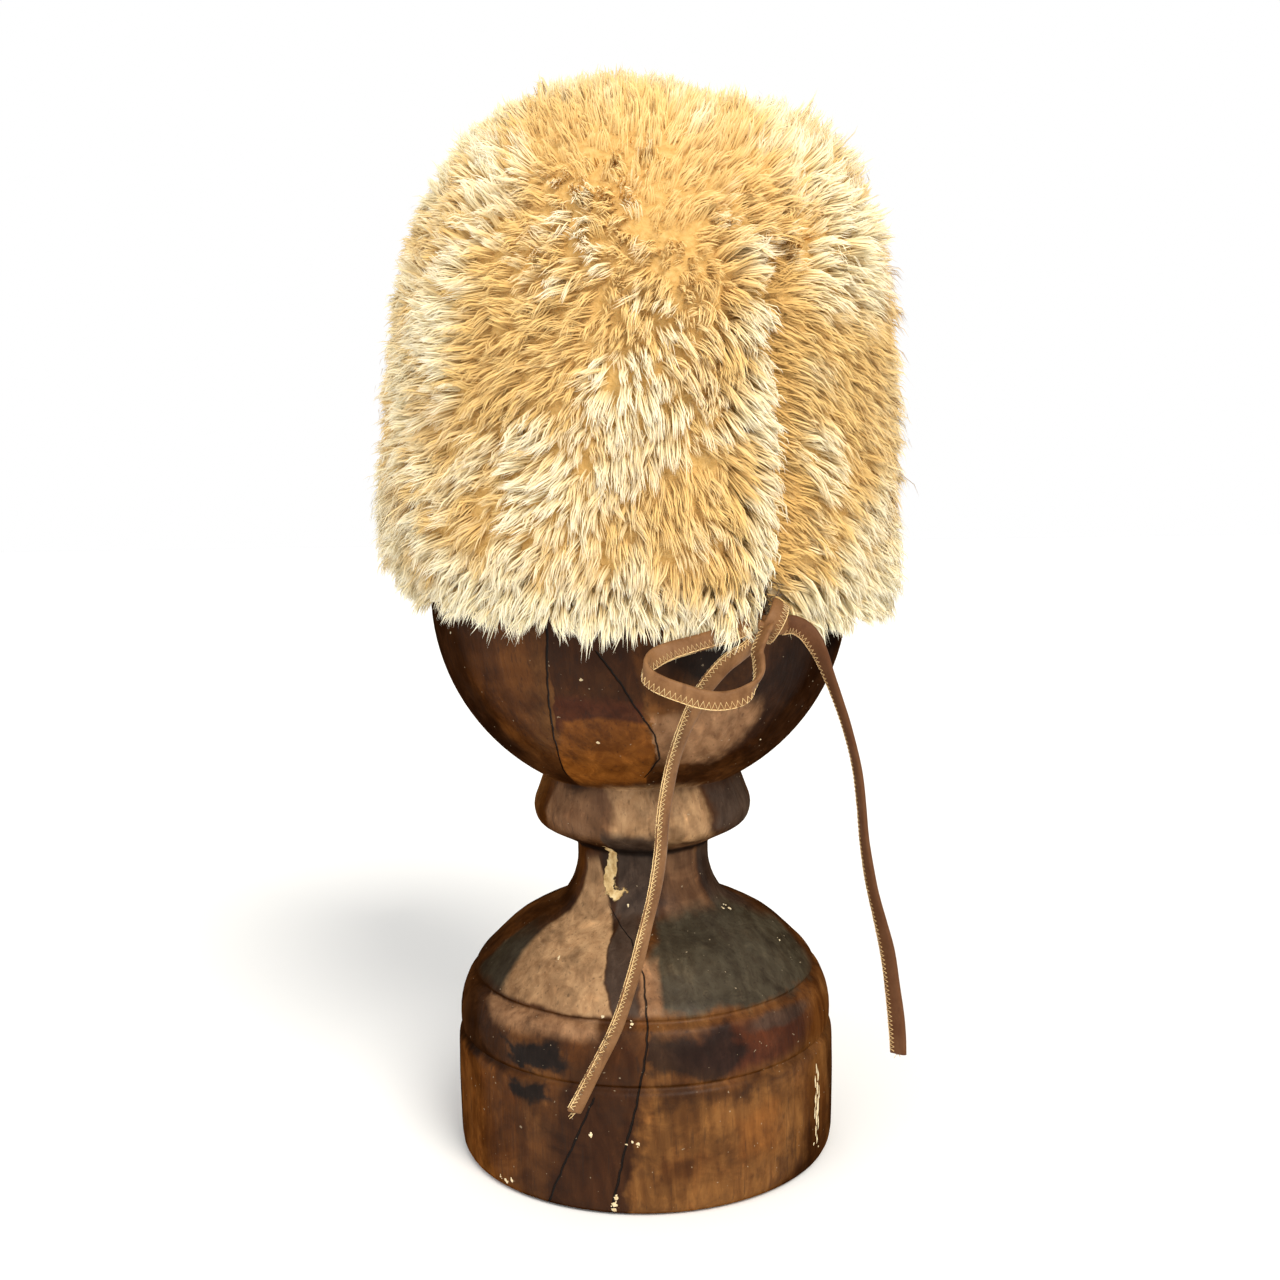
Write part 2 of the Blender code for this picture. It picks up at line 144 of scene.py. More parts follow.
class Nodes:
    """Short names for making a material's nodes."""

    def __init__(self, name, roughness=0.6):
        self.material = bpy.data.materials.new(name)
        self.material.use_nodes = True
        self.tree = self.material.node_tree
        self.shader = self.tree.nodes["Principled BSDF"]
        self.shader.inputs["Roughness"].default_value = roughness
        self.coords = self.tree.nodes.new("ShaderNodeTexCoord").outputs["Object"]

    def node(self, kind, **settings):
        made = self.tree.nodes.new(kind)
        for key, value in settings.items():
            setattr(made, key, value)
        return made

    def put(self, socket, value):
        if isinstance(value, bpy.types.NodeSocket):
            self.tree.links.new(value, socket)
        elif isinstance(value, (tuple, list)) and len(value) == 3 and socket.type == "RGBA":
            socket.default_value = (*value, 1.0)
        else:
            socket.default_value = value

    def math(self, operation, a, b=None, clamp=False):
        made = self.node("ShaderNodeMath", operation=operation, use_clamp=clamp)
        self.put(made.inputs[0], a)
        if b is not None:
            self.put(made.inputs[1], b)
        return made.outputs[0]

    def vector(self, operation, a, b=None):
        made = self.node("ShaderNodeVectorMath", operation=operation)
        self.put(made.inputs[0], a)
        if b is not None:
            self.put(made.inputs[1], b)
        return made.outputs["Value" if operation in ("LENGTH", "DOT_PRODUCT") else "Vector"]

    def noise(self, scale, detail=3.0, stretch=None, coords=None, colour=False, roughness=0.5, distortion=0.0):
        coords = self.coords if coords is None else coords
        if stretch is not None:
            coords = self.vector("MULTIPLY", coords, stretch)
        made = self.node("ShaderNodeTexNoise")
        self.put(made.inputs["Vector"], coords)
        made.inputs["Scale"].default_value = scale
        made.inputs["Detail"].default_value = detail
        made.inputs["Roughness"].default_value = roughness
        made.inputs["Distortion"].default_value = distortion
        return made.outputs["Color" if colour else "Fac"]

    def ramp(self, value, stops, constant=False):
        made = self.node("ShaderNodeValToRGB")
        if constant:
            made.color_ramp.interpolation = "CONSTANT"
        marks = made.color_ramp.elements
        while len(marks) < len(stops):
            marks.new(0.5)
        for mark, (at, colour) in zip(marks, stops):
            mark.position = at
            mark.color = (*colour, 1.0) if isinstance(colour, tuple) else (colour, colour, colour, 1.0)
        self.put(made.inputs["Fac"], value)
        return made.outputs["Color"]

    def mix(self, part, a, b, kind="MIX"):
        made = self.node("ShaderNodeMix", data_type="RGBA", blend_type=kind)
        self.put(made.inputs["Factor"], part)
        self.put(made.inputs["A"], a)
        self.put(made.inputs["B"], b)
        return made.outputs["Result"]

    def blend(self, value, low, high, to_low=0.0, to_high=1.0):
        made = self.node("ShaderNodeMapRange", interpolation_type="SMOOTHSTEP")
        self.put(made.inputs["Value"], value)
        made.inputs["From Min"].default_value = low
        made.inputs["From Max"].default_value = high
        made.inputs["To Min"].default_value = to_low
        made.inputs["To Max"].default_value = to_high
        return made.outputs["Result"]

    def bump(self, height, distance, strength=1.0, under=None):
        made = self.node("ShaderNodeBump")
        made.inputs["Strength"].default_value = strength
        made.inputs["Distance"].default_value = distance
        self.put(made.inputs["Height"], height)
        if under is not None:
            self.put(made.inputs["Normal"], under)
        return made.outputs["Normal"]

    def done(self, colour, roughness=None, normal=None, **sockets):
        self.put(self.shader.inputs["Base Color"], colour)
        if roughness is not None:
            self.put(self.shader.inputs["Roughness"], roughness)
        if normal is not None:
            self.put(self.shader.inputs["Normal"], normal)
        for name, value in sockets.items():
            self.put(self.shader.inputs[name.replace("_", " ")], value)
        return self.material


def leather_material(name, dark=0.0):
    n = Nodes(name)
    worn = n.noise(90.0, 4.0)
    nap = n.noise(900.0, 5.0, roughness=0.7)
    creases = n.noise(260.0, 3.0, stretch=(1.0, 1.0, 0.35), distortion=0.6)
    tone = n.ramp(worn, [(0.25, (0.110, 0.045, 0.015)), (0.5, (0.190, 0.087, 0.032)), (0.8, (0.270, 0.138, 0.057))])
    tone = n.mix(n.blend(nap, 0.35, 0.75, 0.0, 0.22), tone, (0.33, 0.18, 0.085))
    tone = n.mix(n.blend(creases, 0.52, 0.68, 0.0, 0.40), tone, (0.09, 0.036, 0.013))
    # dark darkens the whole leather towards near-black: painted shade, for the tail that faces away from the light
    if dark:
        tone = n.mix(dark, tone, (0.070, 0.020, 0.006))
    normal = n.bump(nap, 0.00025, 0.5, n.bump(creases, 0.0005, 0.5))
    return n.done(tone, n.blend(worn, 0.2, 0.8, 0.62, 0.48), normal, Specular_IOR_Level=0.15)


def thread_material(name, dark, light):
    n = Nodes(name)
    ply = n.noise(1500.0, 2.0)
    wear = n.noise(120.0, 2.0)
    tone = n.mix(n.blend(wear, 0.3, 0.7), n.ramp(ply, [(0.3, dark), (0.7, light)]), light)
    return n.done(tone, 0.55, n.bump(ply, 0.0001, 0.5), Sheen_Weight=0.2)


def fur_material():
    """Colour from the strand's own numbers: how far along it, how bright its lock and strand are, and how pale the
    place is; these numbers also carry painted light and shade.
    """
    n = Nodes("golden_fur", 0.62)
    made = n.node("ShaderNodeAttribute", attribute_name="fur")
    split = n.node("ShaderNodeSeparateXYZ")
    n.put(split.inputs[0], made.outputs["Vector"])
    along, brightness_and_painted_light, pale = split.outputs
    golden = n.ramp(along, [(0.0, (0.60, 0.350, 0.100)), (0.38, (0.77, 0.480, 0.155)), (0.75, (0.87, 0.590, 0.215)),
                            (1.0, (0.94, 0.700, 0.310))])
    cream = n.ramp(along, [(0.0, (0.64, 0.390, 0.130)), (0.38, (0.84, 0.600, 0.260)), (0.70, (0.95, 0.820, 0.510)),
                           (1.0, (0.99, 0.950, 0.790))])
    spots = n.noise(45.0, 3.0)
    part = n.math("ADD", n.blend(pale, 0.30, 0.85), n.blend(spots, 0.3, 0.7, -0.16, 0.16))
    # The second number is the lock's and strand's brightness, with painted highlights on raised pile, painted shade in
    # its hollows and at the crown's top, and painted light on the fringe
    part = n.math("ADD", part, n.blend(brightness_and_painted_light, 0.0, 1.0, -0.14, 0.14), clamp=True)
    tone = n.mix(part, golden, cream)
    tone = n.mix(n.blend(brightness_and_painted_light, 0.0, 0.8, 0.36, 0.0), tone, (0.58, 0.330, 0.110))
    return n.done(tone, 0.65, Specular_IOR_Level=0.15, Sheen_Weight=0.10)


def underfur_material():
    n = Nodes("underfur", 0.95)
    tufts = n.noise(420.0, 4.0)
    tone = n.ramp(tufts, [(0.3, (0.55, 0.320, 0.095)), (0.6, (0.70, 0.440, 0.155)), (0.85, (0.78, 0.540, 0.230))])
    split = n.node("ShaderNodeSeparateXYZ")
    n.put(split.inputs[0], n.coords)
    tone = n.mix(n.blend(split.outputs[2], RIM, RIM + 0.022, 0.8, 0.0), tone, (0.85, 0.70, 0.45))
    return n.done(tone, 0.95, n.bump(tufts, 0.0015, 1.0), Specular_IOR_Level=0.1)


def cloth_material():
    """The hat's woven backing, seen inside the crown and at the slit."""
    n = Nodes("backing_cloth", 0.92)
    rows = []
    for turn in ((1.0, 1.0, 0.0), (0.0, 0.0, 1.0)):
        wave = n.node("ShaderNodeTexWave", wave_type="BANDS", bands_direction="X")
        n.put(wave.inputs["Vector"], n.vector("MULTIPLY", n.coords, turn) if turn[2] == 0 else spun(n))
        wave.inputs["Scale"].default_value = 260.0
        wave.inputs["Distortion"].default_value = 1.2
        wave.inputs["Detail"].default_value = 1.0
        rows.append(wave.outputs["Fac"])
    weave = n.math("MULTIPLY", rows[0], rows[1])
    soil = n.noise(30.0, 4.0)
    tone = n.mix(n.blend(soil, 0.35, 0.75), (0.46, 0.33, 0.17), (0.30, 0.19, 0.085))
    tone = n.mix(n.blend(weave, 0.1, 0.7, 0.5, 0.0), tone, (0.13, 0.075, 0.03))
    return n.done(tone, 0.92, n.bump(weave, 0.0004, 0.7), Sheen_Weight=0.1)


def spun(n):
    """Object coordinates with the height first."""
    split = n.node("ShaderNodeSeparateXYZ")
    n.put(split.inputs[0], n.coords)
    joined = n.node("ShaderNodeCombineXYZ")
    n.put(joined.inputs[0], split.outputs[2])
    n.put(joined.inputs[1], split.outputs[0])
    n.put(joined.inputs[2], split.outputs[1])
    return joined.outputs[0]


# ---- Camera, light and floor


def add_camera():
    data = bpy.data.cameras.new("camera")
    data.sensor_width = 36.0
    data.lens = 45.96
    camera = bpy.data.objects.new("camera", data)
    scene.collection.objects.link(camera)
    tip = Matrix.Rotation(math.radians(90.0 - 8.5), 4, "X") @ Matrix.Rotation(math.radians(-0.8), 4, "Z")
    camera.matrix_world = Matrix.Translation((0.0, -0.717, 0.336)) @ tip
    scene.camera = camera


def add_sun(name, place, strength, softness, colour):
    """A distant light from this side of the hat, so that the floor is lit evenly."""
    lamp = bpy.data.lights.new(name, "SUN")
    lamp.energy, lamp.color, lamp.angle = strength, colour, math.radians(softness)
    thing = bpy.data.objects.new(name, lamp)
    thing.rotation_euler = Vector(place).to_track_quat("Z", "Y").to_euler()
    bpy.context.collection.objects.link(thing)


def add_studio():
    world = bpy.data.worlds.new("studio")
    scene.world = world
    world.use_nodes = True
    tree = world.node_tree
    soft = tree.nodes["Background"]
    soft.inputs["Color"].default_value = (1.0, 0.985, 0.96, 1.0)
    soft.inputs["Strength"].default_value = 0.64
    seen = tree.nodes.new("ShaderNodeBackground")
    seen.inputs["Color"].default_value = (1.0, 1.0, 1.0, 1.0)
    path = tree.nodes.new("ShaderNodeLightPath")
    mix = tree.nodes.new("ShaderNodeMixShader")
    tree.links.new(path.outputs["Is Camera Ray"], mix.inputs[0])
    tree.links.new(soft.outputs[0], mix.inputs[1])
    tree.links.new(seen.outputs[0], mix.inputs[2])
    tree.links.new(mix.outputs[0], tree.nodes["World Output"].inputs["Surface"])
    add_sun("key", (0.50, -0.95, 1.02), 2.7, 28.0, (1.0, 0.955, 0.88))
    add_sun("fill", (-0.8, -1.1, 0.9), 0.95, 60.0, (0.96, 0.98, 1.0))
    scene.view_settings.view_transform = "Standard"
    mesh = bpy.data.meshes.new("floor")
    mesh.from_pydata([(-3, -3, 0), (3, -3, 0), (3, 3, 0), (-3, 3, 0)], [], [(0, 1, 2, 3)])
    n = Nodes("pale_floor", 0.8)
    mesh.materials.append(n.done(n.mix(n.noise(6.0), (0.93, 0.93, 0.92), (0.96, 0.96, 0.95)), 0.8))
    floor = bpy.data.objects.new("floor", mesh)
    scene.collection.objects.link(floor)


# ---- Straps

STRAP_WIDE, STRAP_THICK = 0.007, 0.0021
LOOP_ROUTE = [
    (0.0438, -0.0964, 0.2489, 0.05, 0.60, 0.80), (0.0414, -0.0967, 0.2489, 0.05, 0.60, 0.80),
    (0.0349, -0.1045, 0.2470, 0.05, 0.60, 0.80), (0.0234, -0.1070, 0.2441, 0.00, 0.58, 0.81),
    (0.0120, -0.1085, 0.2411, 0.00, 0.48, 0.88), (0.0055, -0.1105, 0.2384, 0.08, 0.25, 0.96),
    (0.0019, -0.1145, 0.2355, 0.16, -0.10, 0.98), (0.0032, -0.1185, 0.2326, 0.10, 0.05, 0.99),
    (0.0079, -0.1212, 0.2300, 0.02, 0.15, 0.98), (0.0153, -0.1223, 0.2271, 0.00, 0.18, 0.98),
    (0.0226, -0.1223, 0.2247, 0.00, 0.20, 0.98), (0.0301, -0.1212, 0.2238, 0.00, 0.22, 0.97),
    (0.0376, -0.1190, 0.2252, 0.06, 0.02, 0.97), (0.0425, -0.1160, 0.2286, 0.30, -0.42, 0.80),
    (0.0446, -0.1128, 0.2326, 0.40, -0.80, 0.45), (0.0447, -0.1100, 0.2370, 0.45, -0.87, 0.15),
    (0.0445, -0.1078, 0.2409, 0.45, -0.88, 0.05), (0.0481, -0.1036, 0.2481, 0.45, -0.88, 0.05),
    (0.0481, -0.1011, 0.2481, 0.45, -0.88, 0.05),
]
LEFT_ROUTE = [
    (0.0450, -0.0965, 0.2432, 0.50, 0.70, -0.50), (0.0432, -0.0967, 0.2414, 0.50, 0.70, -0.50),
    (0.0390, -0.1005, 0.2385, 0.50, 0.70, -0.50), (0.0335, -0.1042, 0.2355, 0.70, 0.42, -0.58),
    (0.0282, -0.1045, 0.2300, 0.78, 0.30, -0.54), (0.0232, -0.1015, 0.2225, 0.76, 0.48, -0.43),
    (0.0168, -0.0995, 0.2090, 0.66, 0.68, -0.30), (0.0118, -0.0980, 0.1935, 0.64, 0.74, -0.20),
    (0.0085, -0.0972, 0.1760, 0.64, 0.76, -0.11), (0.0070, -0.0965, 0.1590, 0.64, 0.76, -0.07),
    (0.0042, -0.0962, 0.1420, 0.64, 0.75, -0.12), (0.0005, -0.0960, 0.1270, 0.64, 0.74, -0.17),
    (-0.0045, -0.0960, 0.1080, 0.66, 0.72, -0.21), (-0.0108, -0.0960, 0.0890, 0.68, 0.69, -0.27),
    (-0.0196, -0.0960, 0.0705, 0.70, 0.63, -0.35), (-0.0291, -0.0962, 0.0522, 0.72, 0.55, -0.40),
]
RIGHT_ROUTE = [
    (0.0535, -0.0958, 0.2478, 0.50, 0.20, 0.80), (0.0592, -0.0952, 0.2482, 0.50, 0.20, 0.80),
    (0.0645, -0.0975, 0.2450, 0.54, 0.12, 0.80), (0.0687, -0.0990, 0.2385, 0.60, -0.52, 0.52),
    (0.0720, -0.0990, 0.2300, 0.46, -0.84, 0.28), (0.0758, -0.0980, 0.2195, 0.34, -0.93, 0.12),
    (0.0800, -0.0965, 0.2070, 0.30, -0.95, 0.08), (0.0838, -0.0945, 0.1920, 0.28, -0.96, 0.04),
    (0.0860, -0.0930, 0.1760, 0.28, -0.96, 0.00), (0.0876, -0.0920, 0.1600, 0.32, -0.94, 0.00),
    (0.0903, -0.0910, 0.1440, 0.42, -0.90, 0.06), (0.0942, -0.0902, 0.1280, 0.55, -0.82, 0.12),
    (0.0976, -0.0900, 0.1130, 0.68, -0.72, 0.14), (0.1000, -0.0900, 0.0960, 0.78, -0.62, 0.10),
    (0.1016, -0.0900, 0.0800, 0.82, -0.56, 0.08), (0.1021, -0.0900, 0.0722, 0.82, -0.56, 0.06),
]
LEAD_ROUTE = [
    (0.0434, -0.0816, 0.2590, 0.88, 0.47, 0.00), (0.0434, -0.0816, 0.2540, 0.88, 0.47, 0.00),
    (0.0438, -0.0824, 0.2513, 0.88, 0.47, 0.00), (0.0456, -0.0857, 0.2497, 0.88, 0.47, 0.00),
    (0.0502, -0.0906, 0.2486, 0.88, 0.47, 0.00),
]

# Half of the strap's section, from the stitched edge to the fold, as shares of half its width and thickness
STRAP_SECTION = [
    (-1.000, 0.10),
    (-1.010, 0.42),
    (-0.930, 0.60),
    (-0.700, 0.66),
    (-0.480, 0.70),
    (-0.300, 0.86),
    (0.100, 0.97),
    (0.500, 1.00),
    (0.760, 0.88),
    (0.930, 0.54),
]


def strap_frames(route, step):
    """Even points along a strap, with its width and face directions at each."""
    line = even(through(route, 10), step)
    centres, widths = line[:, :3], line[:, 3:]
    along = unit(np.gradient(centres, axis=0))
    across = unit(widths - along * np.sum(widths * along, axis=1, keepdims=True))
    return centres, along, across, np.cross(along, across)


def tube(builder, points, radius, sides, slot):
    """A thin round thread through these points."""
    points = np.asarray(points, float)
    along = unit(np.gradient(points, axis=0))
    other = np.where(np.abs(along[:, 2:3]) > 0.9, [[1.0, 0.0, 0.0]], [[0.0, 0.0, 1.0]])
    one = unit(np.cross(along, other))
    two = np.cross(along, one)
    turn = np.linspace(0, 2 * math.pi, sides, endpoint=False)
    ring = one[:, None] * np.cos(turn)[None, :, None] + two[:, None] * np.sin(turn)[None, :, None]
    builder.add((points[:, None] + ring * radius).reshape(-1, 3), ring_faces(len(points), sides), slot)


def add_strap(builder, route, step=0.0007, open_pitch=0.00105, depth=0.0028):
    """A folded strap with its open edges sewn together by a zigzag and a chain along them."""
    centres, along, across, face = strap_frames(route, step)
    upper = STRAP_SECTION
    section = upper + [(1.0, 0.0)] + [(w, -t) for w, t in reversed(upper)]
    w = np.array([p[0] for p in section]) * STRAP_WIDE / 2
    t = np.array([p[1] for p in section]) * STRAP_THICK / 2
    steps = np.arange(len(centres))
    ripple = 0.00011 * np.sin(steps * 1.9)[:, None] * (w < -0.001)[None, :]
    bend = 0.0002 * np.sin(steps * 0.13)[:, None]
    body = centres[:, None] + across[:, None] * (w[None, :, None] + bend[:, :, None])
    body = body + face[:, None] * (t[None, :, None] + ripple[:, :, None])
    builder.add(body.reshape(-1, 3), ring_faces(len(centres), len(section)), 0)

    at = lengths_along(centres)
    for side, pitch, thick in ((1.0, open_pitch, 0.00022), (-1.0, 0.00085, 0.00018)):
        want = np.arange(0.0006, at[-1] - 0.0004, pitch)
        c, a, f = (np.column_stack([np.interp(want, at, v[:, k]) for k in range(3)]) for v in (centres, across, face))
        swap = np.where(np.arange(len(want)) % 2 == 0, 1.0, 0.0)[:, None]
        slack = chance.normal(0, 0.00006, (len(want), 2))
        reach = -0.0036 + depth * swap + slack[:, :1]
        high = side * (0.00072 + 0.00020 * swap)
        tube(builder, c + a * reach + f * high, thick, 5, 1)
        edge = c + a * (-0.00356 + 0.0001 * swap) + f * side * (0.00040 + 0.0002 * swap + slack[:, 1:])
        tube(builder, edge, 0.00019, 4, 1)


def add_ties():
    leather = leather_material("brown_leather")
    shaded_leather = leather_material("shaded_brown_leather", 0.7)
    thread = thread_material("gold_thread", (0.62, 0.35, 0.11), (0.90, 0.64, 0.29))
    shaded_thread = thread_material("shaded_gold_thread", (0.46, 0.24, 0.08), (0.76, 0.50, 0.21))
    for name, node, route, far_end in (
        ("bow_loop", "tie_bow_loop", LOOP_ROUTE, "object"),
        ("left_tail", "tie_left_tail", LEFT_ROUTE, "bare"),
        ("right_tail", "tie_right_tail", RIGHT_ROUTE, "bare"),
    ):
        builder = Builder()
        if name == "bow_loop":
            add_strap(builder, route)
        else:
            add_strap(builder, route, open_pitch=0.00092, depth=0.0020)
        path = through(np.array(route)[:, :3], 6)
        if far_end == "bare":
            fray(builder, path)
        # The right tail gets darker copies of the leather and the thread: painted shade, as it faces away from the
        # light
        look = [shaded_leather, shaded_thread] if name == "right_tail" else [leather, thread]
        thing = piece(name, builder.mesh(name), look, "leather", node)
    builder = Builder()
    add_strap(builder, LEAD_ROUTE, 0.0008)
    piece("lead_strap", builder.mesh("lead_strap"), [leather, thread], "leather", "tie_lead")
    add_knot(leather, thread)


def fray(builder, path):
    """Loose thread ends at the cut end of a tail."""
    end, along = path[-1], unit(path[-1] - path[-3])
    for n in range(5):
        start = end + chance.normal(0, 0.0007, 3) - along * 0.0008
        drift = chance.normal(0, 0.6, 3)
        bits = [start + (along + drift * s) * 0.0026 * s for s in np.linspace(0, 1, 5)]
        tube(builder, bits, 0.00012, 4, 1)


def add_knot(leather, thread):
    """The knot: a rounded core, and the strap that comes down over its front and tucks in below."""
    centre = np.array([0.0508, -0.0956, 0.2486])
    turn = math.radians(8.0)
    side = np.array([math.cos(turn), math.sin(turn), 0.0])
    back = np.array([-math.sin(turn), math.cos(turn), 0.0])
    up = np.array([0.0, 0.0, 1.0])
    builder = Builder()
    mesh = bmesh.new()
    bmesh.ops.create_cube(mesh, size=1.0)
    bmesh.ops.subdivide_edges(mesh, edges=mesh.edges[:], cuts=5, use_grid_fill=True)
    points = []
    for vertex in mesh.verts:
        p = np.array(vertex.co) * 2
        p = p / np.linalg.norm(p) * np.max(np.abs(p)) * 0.85 + p * 0.15
        fold = 1 + 0.06 * math.sin(9 * p[2] + 5 * p[0])
        points.append(centre + side * (p[0] * 0.0058 * fold + 0.0010) + back * p[1] * 0.0037 + up * p[2] * 0.0046 * fold)
    mesh.verts.index_update()
    builder.add(points, [[v.index for v in f.verts] for f in mesh.faces], 0)
    mesh.free()
    over = [
        # back, up and sideways from the centre, mm
        (3.4, 7.8, 4.0), (1.0, 7.0, 3.4), (-2.0, 5.8, 2.5), (-4.1, 3.6, 1.2), (-5.0, 1.0, -0.4), (-4.9, -1.7, -2.1),
        (-4.0, -4.0, -3.6), (-1.8, -5.1, -4.4), (1.2, -5.0, -4.6),
    ]
    route = []
    for b, u, a in over:
        route.append((*(centre + (back * b + up * u + side * a) / 1000), *(-side + up * 0.55)))
    add_strap(builder, route, 0.0007)
    piece("knot", builder.mesh("knot"), [leather, thread], "leather", "tie_knot")


# ---- The crown's surface

BALL_RADIUS, BALL_CENTRE = 0.0915, 0.251417
INNER_RADIUS, RIM, CROWN_TALL = 0.0918, 0.252417, 0.1945
SKIN_IN, SKIN_OUT = 0.0039, 0.0054
PILE = 0.018
RIM_SLANT = 0.0055
SEAM_SHARE = 0.56
SLIT_ANGLE, SLIT_TALL, SLIT_WIDE = math.radians(28.0), 0.028, 0.016
CROWN_OUTLINE = [
    # height, radius
    (0.000, 1.000), (0.120, 1.003), (0.245, 0.999), (0.365, 0.986), (0.475, 0.974), (0.575, 0.951),
    (0.655, 0.925), (0.730, 0.882), (0.790, 0.827), (0.840, 0.768), (0.880, 0.706), (0.915, 0.628),
    (0.945, 0.527), (0.968, 0.404), (0.987, 0.245), (1.000, 0.000),
]
rows = np.array(CROWN_OUTLINE)
SECTION = through(np.column_stack([INNER_RADIUS * rows[:, 1], RIM + CROWN_TALL * rows[:, 0]]), 8)
SECTION_AT = lengths_along(SECTION)
TALL = SECTION_AT[-1]
SECTION_WAY = unit(np.gradient(SECTION, SECTION_AT, axis=0))
SECTION_WAY[-1] = (-1.0, 0.0)


def crown_place(angle, length, offset):
    """Points this far outside the crown's inside face, with the outward, upward and sideways directions."""
    angle, length = np.broadcast_arrays(np.asarray(angle, float), np.asarray(length, float))
    r = np.interp(length, SECTION_AT, SECTION[:, 0])
    z = np.interp(length, SECTION_AT, SECTION[:, 1]) + np.minimum(length, 0.0)
    way = unit(np.stack([np.interp(length, SECTION_AT, SECTION_WAY[:, k]) for k in (0, 1)], axis=-1))
    out_r, out_z = way[..., 1], -way[..., 0]
    r, z = r + out_r * offset, z + out_z * offset
    s, c = np.sin(angle), np.cos(angle)
    zero = np.zeros_like(s)
    point = np.stack([s * r, -c * r, z], axis=-1)
    out = np.stack([s * out_r, -c * out_r, out_z], axis=-1)
    up = np.stack([-s * out_z, c * out_z, out_r], axis=-1)
    return point, out, up, np.stack([c, s, zero], axis=-1)


def rim_length(angle):
    return -RIM_SLANT * np.sin(angle)


# ---- Fur

